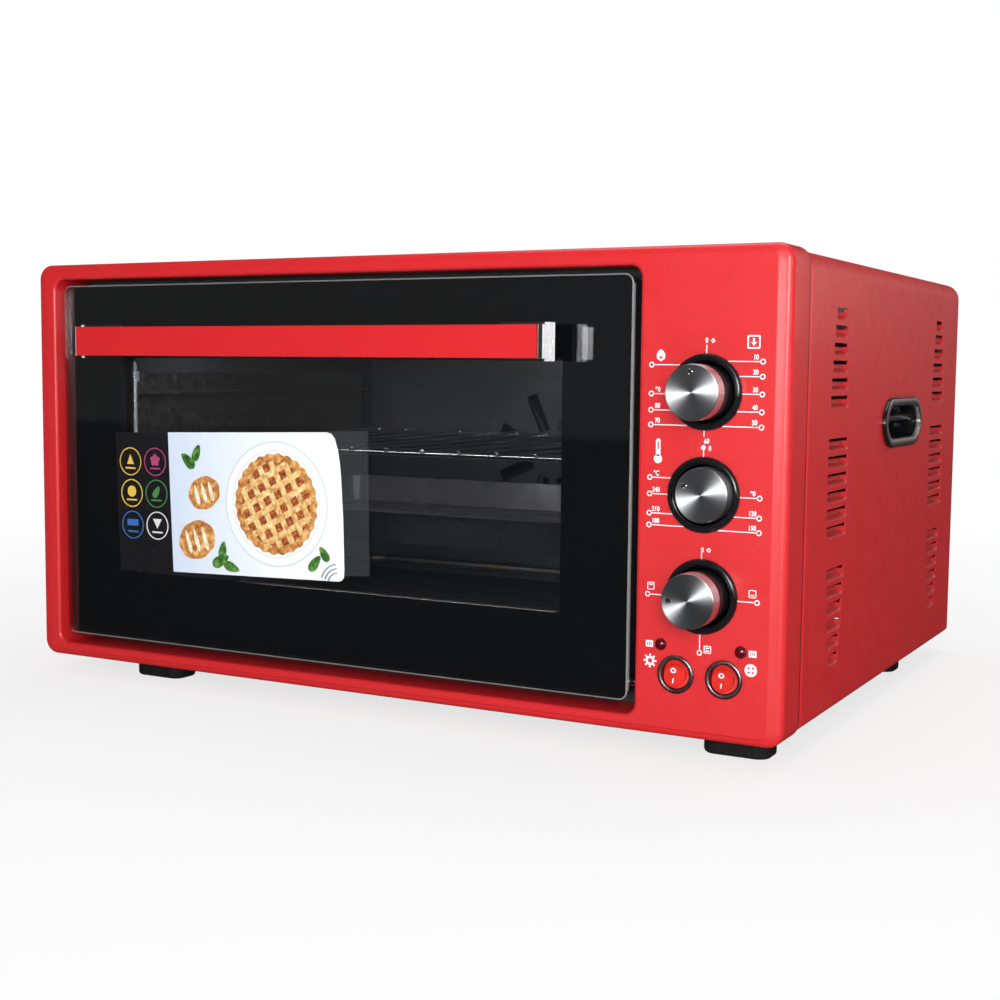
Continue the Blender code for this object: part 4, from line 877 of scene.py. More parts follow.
def sheet(name, mesh_data, made, thickness, replaces=()):
    """Give an open sheet its thickness inwards, and let it ride on the casing."""
    open_sheet = bpy.data.meshes.new(name + "_open")
    mesh_data.to_mesh(open_sheet)
    mesh_data.free()
    piece = bpy.data.objects.new(name, open_sheet)
    bpy.context.scene.collection.objects.link(piece)
    solid = piece.modifiers.new("Sheet", "SOLIDIFY")
    solid.thickness = thickness
    solid.offset = -1
    solid.use_even_offset = True
    data = bpy.data.meshes.new_from_object(piece.evaluated_get(bpy.context.evaluated_depsgraph_get()))
    piece.modifiers.remove(solid)
    piece.data = data
    bpy.data.meshes.remove(open_sheet)
    data.shade_smooth()
    data.set_sharp_from_angle(angle=SMOOTH_ANGLE)
    data.materials.append(made)
    flat = piece.modifiers.new("Flat faces", "WEIGHTED_NORMAL")
    flat.keep_sharp = True
    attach(piece, "casing")
    if replaces:
        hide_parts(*replaces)


# The painted shell: lengths shared with the CAD, drawn with finer bends
SHELL_STEPS = 10
SHEET = 0.0012
FRAME_DEPTH = 0.035
FRAME_CORNER = 0.011
FRAME_EDGE = 0.0045
FRAME_RISE = 0.0014
OPENING = (-0.282, 0.204, 0.0235, 0.303)
OPENING_CORNER = 0.008
OPENING_EDGE = 0.0025
BEZEL_HOLE = 0.0208
LENS_HOLE = 0.0035
SWITCH_HOLE = 0.0107
SEAM = 0.0010
COVER_BEND = 0.013
COVER_LOWER_BEND = 0.0045
COVER_RISE = 0.0009
COVER_DROP = 0.0012
COVER_REAR_EDGE = 0.006
REAR_RIM = 0.012


def orient(mesh, axis, sign):
    """Turn an open sheet so that its largest face across an axis looks the given way."""
    bmesh.ops.recalc_face_normals(mesh, faces=mesh.faces)
    main_face = max(mesh.faces, key=lambda face: face.calc_area() * abs(face.normal[axis]))
    if main_face.normal[axis] * sign < 0:
        bmesh.ops.reverse_faces(mesh, faces=mesh.faces)


def inset_box(box, across, up, radius):
    return rounded_box(box[0] + across, box[1] - across, box[2] + up, box[3] - up, radius, SHELL_STEPS)


def folded_edge(mesh, box, levels):
    """A folded edge through (inset across, inset up, corner radius, depth) steps; returns its first ring."""
    rings = [add_ring(mesh, inset_box(box, across, up, radius), FRONT_Y + deep)
             for across, up, radius, deep in levels]
    for ring, other in zip(rings, rings[1:]):
        bridge(mesh, ring, other)
    return rings[0]


def outer_edge():
    """The frame's edge: a crease, a slightly sloping facet, a round bend and the flange behind it."""
    levels = [(0.0102, 0.0062, 0.0030, 0.0), (0.0094, 0.0056, 0.0034, 0.0), (0.0090, 0.0053, 0.0038, 0.00008),
              (0.0050, 0.0045, 0.0066, 0.0008)]
    for step in range(1, SHELL_STEPS + 1):
        angle = step / SHELL_STEPS * math.pi / 2
        inset = FRAME_EDGE * (1 - math.sin(angle))
        levels.append((inset, inset, FRAME_CORNER - inset, 0.0008 + FRAME_EDGE * (1 - math.cos(angle))))
    return levels + [(0.0, 0.0, FRAME_CORNER, FRAME_DEPTH - SHEET),
                     (0.0008, 0.0008, FRAME_CORNER, FRAME_DEPTH)]


def opening_edge():
    """The lip round the door's opening and the wall behind it."""
    start = OPENING_EDGE + 0.0008
    levels = [(-start, -start, OPENING_CORNER + start, 0.0)]
    for step in range(SHELL_STEPS + 1):
        angle = step / SHELL_STEPS * math.pi / 2
        shift = OPENING_EDGE * (1 - math.sin(angle))
        levels.append((-shift, -shift, OPENING_CORNER + shift, OPENING_EDGE * (1 - math.cos(angle))))
    return levels + [(0.0, 0.0, OPENING_CORNER, FRAME_DEPTH - 0.0006)]


def front_shell(paint):
    """The pressed front with its opening and the holes for the controls."""
    low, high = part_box("front_frame")
    mesh = bmesh.new()
    rings = [folded_edge(mesh, (low.x, high.x, low.z, high.z + FRAME_RISE), outer_edge()),
             folded_edge(mesh, OPENING, opening_edge())]
    for prefix, radius in (("timer_bezel", BEZEL_HOLE), ("thermostat_bezel", BEZEL_HOLE),
                           ("selector_bezel", BEZEL_HOLE), ("lamp_lens_left", LENS_HOLE),
                           ("lamp_lens_right", LENS_HOLE), ("switch_body_left", SWITCH_HOLE),
                           ("switch_body_right", SWITCH_HOLE)):
        rings.append(add_ring(mesh, circle(*centre_of(prefix), radius, 40), FRONT_Y))
    fill_between(mesh, rings)
    orient(mesh, 1, -1)
    sheet("front_shell", mesh, paint, SHEET, ["front_frame"])


def cover_section(box, inset):
    """The cover's section in (X, Z), open below between its two short flanges."""
    box = (box[0] + inset, box[1] - inset, box[2] + inset, box[3] - inset)
    corner = SHELL_STEPS + 1
    wide = rounded_box(*box, COVER_BEND - inset, SHELL_STEPS)
    tight = rounded_box(*box, max(0.0006, COVER_LOWER_BEND - inset), SHELL_STEPS)
    return tight[:corner] + wide[corner:3 * corner] + tight[3 * corner:]


def cover_shell(paint):
    """Top and sides in one sheet, with louvre openings, grip openings and a rolled rear edge."""
    low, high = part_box("outer_cover")
    box = (low.x, high.x, low.z - COVER_DROP, high.z + COVER_RISE)
    front = FRONT_Y + FRAME_DEPTH + SEAM
    back = high.y
    levels = [(0.0012, front), (0.0003, front + 0.0005), (0.0, front + 0.0014)]
    for step in range(SHELL_STEPS + 1):
        angle = step / SHELL_STEPS * math.pi / 2
        levels.append((COVER_REAR_EDGE * (1 - math.cos(angle)),
                       back - COVER_REAR_EDGE * (1 - math.sin(angle))))
    mesh = bmesh.new()
    rows = [add_ring(mesh, cover_section(box, inset), level) for inset, level in levels]
    edge = cover_section(box, COVER_REAR_EDGE)
    turned_in = COVER_REAR_EDGE + REAR_RIM
    left, right, top = box[0] + turned_in, box[1] - turned_in, box[3] - turned_in
    rows.append(add_ring(mesh, [(min(max(x, left), right), min(z, top)) for x, z in edge], back))
    main_span = 2
    walls = (SHELL_STEPS, 3 * SHELL_STEPS + 2)
    for number, (row, other) in enumerate(zip(rows, rows[1:])):
        for index in range(len(row) - 1):
            if number == main_span and index in walls:
                continue
            mesh.faces.new((row[index], row[index + 1], other[index + 1], other[index]))
    for wall, index in zip((box[1], box[0]), walls):
        corners = [rows[2][index], rows[2][index + 1], rows[3][index + 1], rows[3][index]]
        rings = [corners]
        for outline in wall_holes():
            rings.append(add_ring(mesh, outline, wall, along_x))
        fill_between(mesh, rings)
    orient(mesh, 2, 1)
    sheet("cover_shell", mesh, paint, SHEET, ["outer_cover"])


def wall_holes():
    """Openings in one side of the cover, in (Y, Z)."""
    holes = [grip_outline(grip_middle(), 0.0058)]
    for set_back in LOUVRE_SET_BACKS:
        middle = FRONT_Y + set_back
        for row, width in louvre_rows():
            holes.append(rounded_box(middle - width / 2, middle + width / 2, row - LOUVRE_HEIGHT / 2,
                                     row + LOUVRE_HEIGHT / 2, 0.0006, 2))
    return holes


def grip_middle():
    low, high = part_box("side_grip_right")
    return ((low.y + high.y) / 2, (low.z + high.z) / 2)


# Recessed grips in the sides
GRIP_LENGTH = 0.110
GRIP_HEIGHT = 0.036
GRIP_BOW = 0.020
GRIP_ROUND = 1.7
GRIP_STEPS = 24
BAR_REACH = GRIP_LENGTH / 2 - 0.0068
BAR_DEPTH = 0.0062
BAR_SAG = 0.0025
BAR_RISE = 0.0026
BAR_RADIUS = 0.0032
BAR_STEPS = 16


def grip_outline(middle, margin):
    """The grip's outline in (Y, Z), drawn in by a margin: straight top and bottom, bowed ends."""
    half = GRIP_LENGTH / 2 - margin
    rise = GRIP_HEIGHT / 2 - margin
    bow = GRIP_BOW - margin * 0.35
    points = []
    for side in (1, -1):
        for step in range(GRIP_STEPS + 1):
            share = 2 * step / GRIP_STEPS - 1
            reach = bow * (1 - abs(share) ** GRIP_ROUND) ** (1 / GRIP_ROUND)
            points.append((middle[0] + side * (half - bow + reach), middle[1] + side * share * rise))
    return points


def side_grips(rim_grey, black, bar_black):
    """A raised metallic rim round a deep glossy cup with a finger bar across it."""
    for name, side in SIDES:
        node = "side_grip_" + name
        middle = grip_middle()
        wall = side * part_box("outer_cover")[1].x
        edge = bmesh.new()
        rings = [add_ring(edge, grip_outline(middle, margin), wall + side * out, along_x)
                 for margin, out in ((0.0, 0.0001), (0.0, 0.0020), (0.0003, 0.0026), (0.0009, 0.0029),
                                     (0.0009, 0.0001))]
        bridge_loop(edge, rings)
        add_piece("grip_edge_" + name, edge, black, "casing")
        rim = bmesh.new()
        rings = [add_ring(rim, grip_outline(middle, margin), wall + side * out, along_x)
                 for margin, out in ((0.0009, 0.0001), (0.0009, 0.0029), (0.0014, 0.0031), (0.0052, 0.0031),
                                     (0.0058, 0.0027), (0.0060, 0.0018), (0.0060, -0.0030))]
        bridge_loop(rim, rings)
        add_piece("grip_rim_" + name, rim, rim_grey, "casing")
        cup = bmesh.new()
        rings = [add_ring(cup, grip_outline(middle, margin), wall + side * out, along_x)
                 for margin, out in ((0.0056, -0.0002), (0.0056, -0.0235), (0.0140, -0.0235),
                                     (0.0140, -0.0222), (0.0110, -0.0216), (0.0084, -0.0196),
                                     (0.0068, -0.0160), (0.0061, -0.0100), (0.0061, -0.0002))]
        bridge_loop(cup, rings)
        floor = [add_ring(cup, grip_outline(middle, 0.0138), wall - side * deep, along_x)
                 for deep in (0.0236, 0.0221)]
        bridge(cup, *floor)
        for ring in floor:
            cup.faces.new(ring)
        add_piece("grip_cup_" + name, cup, black, "casing", [node])
        bar = bmesh.new()
        spine = []
        for step in range(BAR_STEPS + 1):
            share = 2 * step / BAR_STEPS - 1
            deep = BAR_DEPTH + BAR_SAG * (1 - share * share)
            spine.append((wall - side * deep, middle[0] + share * BAR_REACH, middle[1] + BAR_RISE))
        add_tube(bar, spine, BAR_RADIUS, 14)
        add_piece("grip_bar_" + name, bar, bar_black, "casing")


# The door
CLEAR_LEFT = -0.2262
CLEAR_RIGHT = 0.1460
CLEAR_LOW = 0.0820
CLEAR_HIGH = 0.2468


def door_glass(edge, ink_black):
    """The printed border behind the pane and the ground edge round it."""
    low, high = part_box("door_glass_outer")
    outline = rounded_box(low.x + 0.0002, high.x - 0.0002, low.z + 0.0002, high.z - 0.0002, 0.0058)
    window = rounded_box(CLEAR_LEFT, CLEAR_RIGHT, CLEAR_LOW, CLEAR_HIGH, 0.003)
    add_piece("door_print", prism(outline, high.y + 0.00003, high.y + 0.00013, along_y, [window]), ink_black,
              "door")
    mesh = bmesh.new()
    rings = []
    for inset, level in ((0.0006, low.y - 0.00003), (-0.0001, low.y + 0.0005), (-0.0001, low.y + 0.0011),
                         (0.0003, low.y + 0.0011), (0.0004, low.y + 0.0007), (0.0008, low.y + 0.0003)):
        box = (low.x + inset, high.x - inset, low.z + inset, high.z - inset)
        rings.append(add_ring(mesh, rounded_box(*box, 0.006 - inset, 10), level))
    # Round the bottom, right and top only: on the left the black print reaches the edge
    way = [*range(38, 44), *range(0, 28)]
    for ring, other in zip(rings, [*rings[1:], rings[0]]):
        for index, after in zip(way, way[1:]):
            mesh.faces.new((ring[index], ring[after], other[after], other[index]))
    for end in (way[0], way[-1]):
        mesh.faces.new([ring[end] for ring in rings])
    side = rounded_box(high.x - 0.0002, high.x + 0.0001, low.y + 0.0012, high.y - 0.0002, 0.0001, 2)
    add_prism(mesh, side, low.z + 0.006, high.z - 0.006, along_z)
    add_piece("door_glass_edge", mesh, edge, "door")


CHEEK_WALL = 0.0036
CHEEK_FRONT = 0.0003
BLOCK_LENGTH = 0.035
CHEEK_STEP = 0.0098
CHEEK_LUG = 0.0016
CHEEK_GAP = 0.0012


def handle_brackets(silver, dark):
    """Cast brackets: a stepped cheek at each end of the bar, on a block behind it."""
    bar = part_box("handle_bar")
    for name, way in SIDES:
        low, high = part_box("handle_bracket_" + name)
        outer = low.x if way < 0 else high.x
        inner = outer - way * CHEEK_WALL
        rise, drop = bar[1].z, bar[0].z
        front = bar[0].y + CHEEK_FRONT
        step = front + CHEEK_STEP
        back = high.y - CHEEK_GAP
        outline = [(front + 0.0006, drop), (step, drop), (step, drop - CHEEK_LUG), (back, drop - CHEEK_LUG),
                   (back, rise + CHEEK_LUG), (step, rise + CHEEK_LUG), (step, rise), (front + 0.0006, rise)]
        add_piece("bracket_cheek_" + name, prism(outline, inner, outer, along_x), silver, "door",
                  ["handle_bracket_" + name])
        face = rounded_box(min(inner, outer) + 0.0005, max(inner, outer) - 0.0005, drop, rise, 0.0004, 2)
        add_piece("bracket_front_" + name, prism(face, front, front + 0.0005), dark, "door")
        ends = sorted((inner, outer - way * BLOCK_LENGTH))
        block = rounded_box(ends[0], ends[1], drop - CHEEK_LUG, rise + CHEEK_LUG, 0.001, 3)
        add_piece("bracket_block_" + name, prism(block, bar[1].y + CHEEK_FRONT, back), dark, "door")


# Block feet with round corners and a small lower edge
FOOT_STEPS = 8


def feet(rubber):
    for name in ("front_foot_left", "front_foot_right", "rear_foot_left", "rear_foot_right"):
        low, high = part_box(name)
        levels = []
        for inset, level in ((0.0030, low.z), (0.0014, low.z + 0.0004), (0.0005, low.z + 0.0012),
                             (0.0, low.z + 0.0026), (0.0, high.z)):
            levels.append((rounded_box(low.x + inset, high.x - inset, low.y + inset, high.y - inset,
                                       0.009 - inset, FOOT_STEPS), level))
        add_piece(name + "_block", loft(levels, along_z), rubber, "casing", [name])


RACK_WIRES = 13
RACK_PITCH = 0.030
RACK_EDGE_WIRE = 0.0014
RACK_THIN_WIRE = 0.0012
POST_REACH = 0.012
POST_RADIUS = 0.0020
POST_RISE = 0.009
COLLAR_RADIUS = 0.0036
COLLAR = (0.016, 0.008)


def wire_rack(steel):
    """The grill: an edge wire, and wires from front to back on it with rounded ends."""
    low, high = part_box("wire_rack")
    edge = RACK_EDGE_WIRE
    level = low.z + edge
    mesh = bmesh.new()
    outline = rounded_box(low.x + edge, high.x - edge, low.y + edge, high.y - edge, 0.006)
    add_tube(mesh, [(x, y, level) for x, y in outline], edge, 10, True)
    top = level + edge + RACK_THIN_WIRE - 0.0002
    middle = (low.x + high.x) / 2
    for wire in range(RACK_WIRES):
        across = middle + (wire - (RACK_WIRES - 1) / 2) * RACK_PITCH
        add_tube(mesh, [(across, low.y - 0.0004, top), (across, high.y + 0.0004, top)], RACK_THIN_WIRE, 8)
        for end in (low.y, high.y):
            bmesh.ops.create_icosphere(mesh, subdivisions=2, radius=RACK_THIN_WIRE * 1.35,
                                       matrix=Matrix.Translation((across, end, top)))
    add_piece("rack_wires", mesh, steel, "grill", ["wire_rack"])


def guide_posts(steel):
    """A bright rod down the front of each runner strip, with a collar near its top."""
    for name, way in (("left", 1), ("right", -1)):
        low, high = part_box("rack_guide_" + name)
        wall = low.x if way > 0 else high.x
        mesh = bmesh.new()
        post = wall + way * POST_REACH
        start = low.y - 0.0022
        foot_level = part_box("baking_tray")[1].z + 0.005
        top = high.z + POST_RISE
        foot = wall + way * 0.0016
        add_tube(mesh, [(foot, start, foot_level), (post - way * 0.002, start, foot_level),
                        (post, start, foot_level + 0.003),
                        (post, start, top - 0.003), (post - way * 0.002, start, top), (foot, start, top)],
                 POST_RADIUS, 10)
        add_tube(mesh, [(post, start, top - down) for down in COLLAR], COLLAR_RADIUS, 12)
        add_piece("guide_post_" + name, mesh, steel, "casing")


# The label on the door glass, in millimetres across and up from the frame's lower edge
LABEL_FILM = ((-229.0, 174.9), (-225.0, 69.9), (-173.1, 72.6), (-21.8, 80.6), (1.8, 82.3), (0.2, 182.5))
LABEL_DARK = ((-229.0, 174.9), (-225.0, 69.9), (-173.1, 72.6), (-177.3, 176.4))
LABEL_RINGS = ((-214.1, 153.5, "yellow"), (-190.0, 154.0, "magenta"), (-212.9, 129.6, "yellow"),
               (-188.8, 130.2, "green"), (-212.2, 105.6, "blue"), (-188.1, 106.2, "white"))


class Label:
    """Flat printed layers on the door glass, each a hair above the last."""

    def __init__(self):
        self.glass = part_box("door_glass_outer")[0].y
        self.count = 0

    def layer(self, name, outline, made, holes=(), lift=0.00002):
        """Add one layer from an outline in millimetres."""
        self.count += 1
        front = self.glass - 0.00004 - self.count * lift
        place = lambda points: [(x * MM, FRAME_BOTTOM + z * MM) for x, z in points]
        mesh = prism(place(outline), front, self.glass - 0.00001, along_y, [place(hole) for hole in holes])
        return add_piece(name, mesh, made, "door")


def picture_outline():
    """The picture's edge: straight on three sides, curved on the right."""
    return [(-177.3, 176.4), (-173.1, 72.6), (-24.0, 76.6), (-21.4, 77.4), (-19.6, 79.6), (-19.2, 84.0),
            (-20.2, 120.0), (-21.8, 146.7), (-22.8, 158.0), (-24.5, 167.9), (-27.4, 176.6), (-30.2, 179.6),
            (-34.0, 180.6)]


def baked(name, stops, scale, relief):
    """A crust: golden to dark brown in uneven patches."""
    made = make_material(name, stops[1][1], 0.5)
    vary_colour(made, noise(made, scale, 5.0), stops)
    add_bump(made, noise(made, scale * 2.0, 4.0), 0.5, relief)
    return made


def sky_ground(name):
    """The picture's ground: pale blue fading to white on the right."""
    made = make_material(name, (0.8, 0.87, 0.95), 0.35)
    tree = made.node_tree
    place = tree.nodes.new("ShaderNodeTexCoord")
    parts = tree.nodes.new("ShaderNodeSeparateXYZ")
    span = tree.nodes.new("ShaderNodeMapRange")
    span.inputs["From Min"].default_value = -0.175
    span.inputs["From Max"].default_value = -0.060
    link_nodes(made, place.outputs["Object"], parts.inputs["Vector"])
    link_nodes(made, parts.outputs["X"], span.inputs["Value"])
    vary_colour(made, span.outputs["Result"], ((0.0, (0.64, 0.74, 0.88)), (1.0, (0.94, 0.96, 0.99))))
    return made


def blob(centre, radii, wobble, lobes, steps=48, turn=0.0, phase=0.0):
    """A closed wavy outline."""
    points = []
    for step in range(steps):
        angle = step / steps * math.tau
        swell = 1.0 + wobble * math.sin(lobes * angle + phase)
        x = radii[0] * swell * math.cos(angle)
        z = radii[1] * swell * math.sin(angle)
        points.append((centre[0] + x * math.cos(turn) - z * math.sin(turn),
                       centre[1] + x * math.sin(turn) + z * math.cos(turn)))
    return points


def leaf(centre, length, width, turn):
    points = []
    for step in range(24):
        angle = step / 24 * math.tau
        x = length / 2 * math.cos(angle)
        z = width / 2 * math.sin(angle) * (1.0 - 0.35 * math.cos(angle))
        points.append((centre[0] + x * math.cos(turn) - z * math.sin(turn),
                       centre[1] + x * math.sin(turn) + z * math.cos(turn)))
    return points


def clip_strip(centre, radius, offset, width, turn):
    """A lattice strip across a round pie, cut to the pie's edge."""
    half = math.sqrt(radius ** 2 - offset ** 2)
    corners = ((-half, offset - width / 2), (half, offset - width / 2), (half, offset + width / 2),
               (-half, offset + width / 2))
    return [(centre[0] + x * math.cos(turn) - z * math.sin(turn),
             centre[1] + x * math.sin(turn) + z * math.cos(turn)) for x, z in corners]


def door_label():
    """A generic printed label: six signs on a dark strip, and a pie, rolls and leaves on pale blue."""
    label = Label()
    film = make_material("label_film", (0.12, 0.13, 0.14), 0.3, Alpha=0.13)
    vary(film, "Roughness", noise(film, 80.0), 0.15, 0.3)
    label.layer("label_film", LABEL_FILM, film)
    label.layer("label_strip", LABEL_DARK, ink("label_dark", (0.004, 0.004, 0.006)))
    label.layer("label_picture", picture_outline(), sky_ground("label_ground"))
    colours = {"yellow": (0.75, 0.50, 0.06), "magenta": (0.38, 0.05, 0.16), "green": (0.06, 0.22, 0.06),
               "blue": (0.03, 0.14, 0.42), "white": (0.7, 0.7, 0.7)}
    inks = {name: ink("label_" + name, colour) for name, colour in colours.items()}
    for index, (x, z, colour) in enumerate(LABEL_RINGS):
        name = "label_sign_%d" % (index + 1)
        label.layer(name, circle(x, z, 10.6), inks[colour], [circle(x, z, 9.8)])
        signs(label, index, x, z, inks[colour])
    artwork(label)


def signs(label, index, x, z, made):
    """A plain sign in each ring."""
    name = "label_icon_%d" % (index + 1)
    bar = rounded_box(x - 5.0, x + 5.0, z - 5.6, z - 4.4, 0.3, 2)
    shapes = ([(x - 3.4, z - 2.0), (x + 3.4, z - 2.0), (x, z + 5.6)],
              blob((x, z + 1.2), (4.2, 4.2), 0.14, 5),
              circle(x, z + 1.4, 4.2),
              leaf((x, z + 1.2), 10.0, 5.0, 1.0),
              rounded_box(x - 5.4, x + 5.4, z - 0.6, z + 4.2, 0.8, 3),
              [(x - 4.2, z + 5.0), (x + 4.2, z + 5.0), (x, z - 2.2)])
    label.layer(name, shapes[index], made)
    label.layer(name + "_bar", bar, made)


def artwork(label):
    """The picture: a round lattice pie on a plate, two rolls, leaves and a few drawn curves."""
    plate = ink("label_plate", (0.88, 0.90, 0.93), 0.3)
    plate_edge = ink("label_plate_edge", (0.60, 0.68, 0.78), 0.3)
    crust = baked("label_crust", ((0.30, (0.30, 0.09, 0.015)), (0.50, (0.62, 0.26, 0.06)),
                                  (0.70, (0.86, 0.55, 0.20))), 260.0, 0.0004)
    filling = baked("label_filling", ((0.30, (0.12, 0.02, 0.006)), (0.50, (0.36, 0.07, 0.015)),
                                      (0.72, (0.72, 0.28, 0.05))), 420.0, 0.0005)
    strip = baked("label_strips", ((0.30, (0.50, 0.20, 0.05)), (0.50, (0.80, 0.50, 0.18)),
                                   (0.70, (0.92, 0.76, 0.42))), 300.0, 0.0003)
    cream = baked("label_cream", ((0.30, (0.66, 0.60, 0.40)), (0.50, (0.86, 0.82, 0.62)),
                                  (0.70, (0.93, 0.92, 0.80))), 300.0, 0.0003)
    green = baked("label_leaf", ((0.30, (0.01, 0.06, 0.01)), (0.50, (0.04, 0.17, 0.02)),
                                 (0.70, (0.16, 0.36, 0.06))), 300.0, 0.0003)
    drawn = ink("label_drawing", (0.16, 0.18, 0.2))
    centre = (-78.0, 128.0)
    label.layer("label_plate_rim", circle(*centre, 45.0, 64), plate_edge)
    label.layer("label_plate", circle(*centre, 44.0, 64), plate)
    label.layer("label_plate_well", circle(*centre, 38.6, 64), plate_edge, [circle(*centre, 38.0, 64)])
    label.layer("label_pie_crust", blob(centre, (36.0, 36.0), 0.018, 26, 156), crust)
    label.layer("label_pie_filling", circle(*centre, 30.0, 64), filling)
    for index, turn in enumerate((0.5, 0.5 + math.pi / 2)):
        for step in range(-2, 3):
            outline = clip_strip(centre, 30.6, step * 10.6, 4.6, turn)
            label.layer("label_lattice_%d_%d" % (index + 1, step + 3), outline, strip)
    for index, (x, z, wide) in enumerate(((-150.0, 98.0, 17.0), (-143.0, 133.0, 14.5))):
        roll = blob((x, z), (wide, wide * 0.82), 0.02, 7, turn=0.4)
        label.layer("label_roll_%d" % (index + 1), roll, crust)
        for cut in (-1, 0, 1):
            outline = leaf((x + cut * wide * 0.45, z + cut * 1.5), wide * 1.05, 3.4, 1.9)
            label.layer("label_roll_%d_cut_%d" % (index + 1, cut + 2), outline, cream)
    for index, (x, z, length, turn) in enumerate(((-128.0, 84.0, 16.0, 0.5), (-118.0, 80.0, 14.0, -0.3),
                                                  (-126.0, 92.0, 13.0, 1.4), (-158.0, 156.0, 15.0, 2.4),
                                                  (-150.0, 162.0, 13.0, 1.2), (-44.0, 88.0, 14.0, 0.9),
                                                  (-36.0, 95.0, 12.0, 2.2))):
        label.layer("label_leaf_%d" % (index + 1), leaf((x, z), length, length * 0.48, turn), green)
    for index, radius in enumerate((9.0, 12.0, 15.0)):
        outline = [(-24.0 + radius * math.cos(turn), 74.0 + radius * math.sin(turn))
                   for turn in [math.radians(98 + step * 8) for step in range(9)]]
        inner = [(-24.0 + (radius - 0.6) * math.cos(turn), 74.0 + (radius - 0.6) * math.sin(turn))
                 for turn in [math.radians(98 + step * 8) for step in reversed(range(9))]]
        label.layer("label_curve_%d" % (index + 1), outline + inner, drawn)


def add_area(name, place, target, size, power, colour=(1.0, 1.0, 1.0), glossy=True, tall=None):
    """A soft rectangular lamp aimed at a point."""
    data = bpy.data.lights.new(name, "AREA")
    data.shape = "RECTANGLE"
    data.size = size
    data.size_y = tall or size
    data.energy = power
    data.color = colour
    lamp = bpy.data.objects.new(name, data)
    lamp.location = place
    lamp.rotation_euler = (Vector(target) - Vector(place)).to_track_quat("-Z", "Y").to_euler()
    lamp.visible_glossy = glossy
    bpy.context.scene.collection.objects.link(lamp)
    return lamp


def add_camera():
    """The camera at the photograph's viewing angle."""
    data = bpy.data.cameras.new("camera")
    data.sensor_width = CAMERA_SENSOR
    data.lens = CAMERA_LENS
    data.shift_x = CAMERA_SHIFT
    data.clip_start = 0.01
    camera = bpy.data.objects.new("camera", data)
    level = math.cos(CAMERA_PITCH)
    ahead = Vector((-math.sin(CAMERA_YAW) * level, math.cos(CAMERA_YAW) * level, math.sin(CAMERA_PITCH)))
    right = ahead.cross(Vector((0.0, 0.0, 1.0))).normalized()
    upright = right.cross(ahead)
    across = right * math.cos(CAMERA_ROLL) + upright * math.sin(CAMERA_ROLL)
    upward = upright * math.cos(CAMERA_ROLL) - right * math.sin(CAMERA_ROLL)
    turn = Matrix((across, upward, -ahead)).transposed().to_4x4()
    camera.matrix_world = Matrix.Translation(CAMERA_PLACE) @ turn
    bpy.context.scene.collection.objects.link(camera)
    bpy.context.scene.camera = camera


def add_world():
    """White for the camera, a dim studio for light and reflections."""
    world = bpy.data.worlds.new("studio")
    world.use_nodes = True
    bpy.context.scene.world = world
    tree = world.node_tree
    seen = tree.nodes["Background"]
    seen.inputs["Color"].default_value = (1.0, 1.0, 1.0, 1.0)
    seen.inputs["Strength"].default_value = 1.0
    dim = tree.nodes.new("ShaderNodeBackground")
    dim.inputs["Color"].default_value = (0.92, 0.96, 1.0, 1.0)
    dim.inputs["Strength"].default_value = 0.24
    dark = tree.nodes.new("ShaderNodeBackground")
    dark.inputs["Color"].default_value = (1.0, 1.0, 1.0, 1.0)
    dark.inputs["Strength"].default_value = 0.07
    rays = tree.nodes.new("ShaderNodeLightPath")
    shine = tree.nodes.new("ShaderNodeMixShader")
    view = tree.nodes.new("ShaderNodeMixShader")
    tree.links.new(rays.outputs["Is Glossy Ray"], shine.inputs["Fac"])
    tree.links.new(dim.outputs["Background"], shine.inputs[1])
    tree.links.new(dark.outputs["Background"], shine.inputs[2])
    tree.links.new(rays.outputs["Is Camera Ray"], view.inputs["Fac"])
    tree.links.new(shine.outputs["Shader"], view.inputs[1])
    tree.links.new(seen.outputs["Background"], view.inputs[2])
    tree.links.new(view.outputs["Shader"], tree.nodes["World Output"].inputs["Surface"])


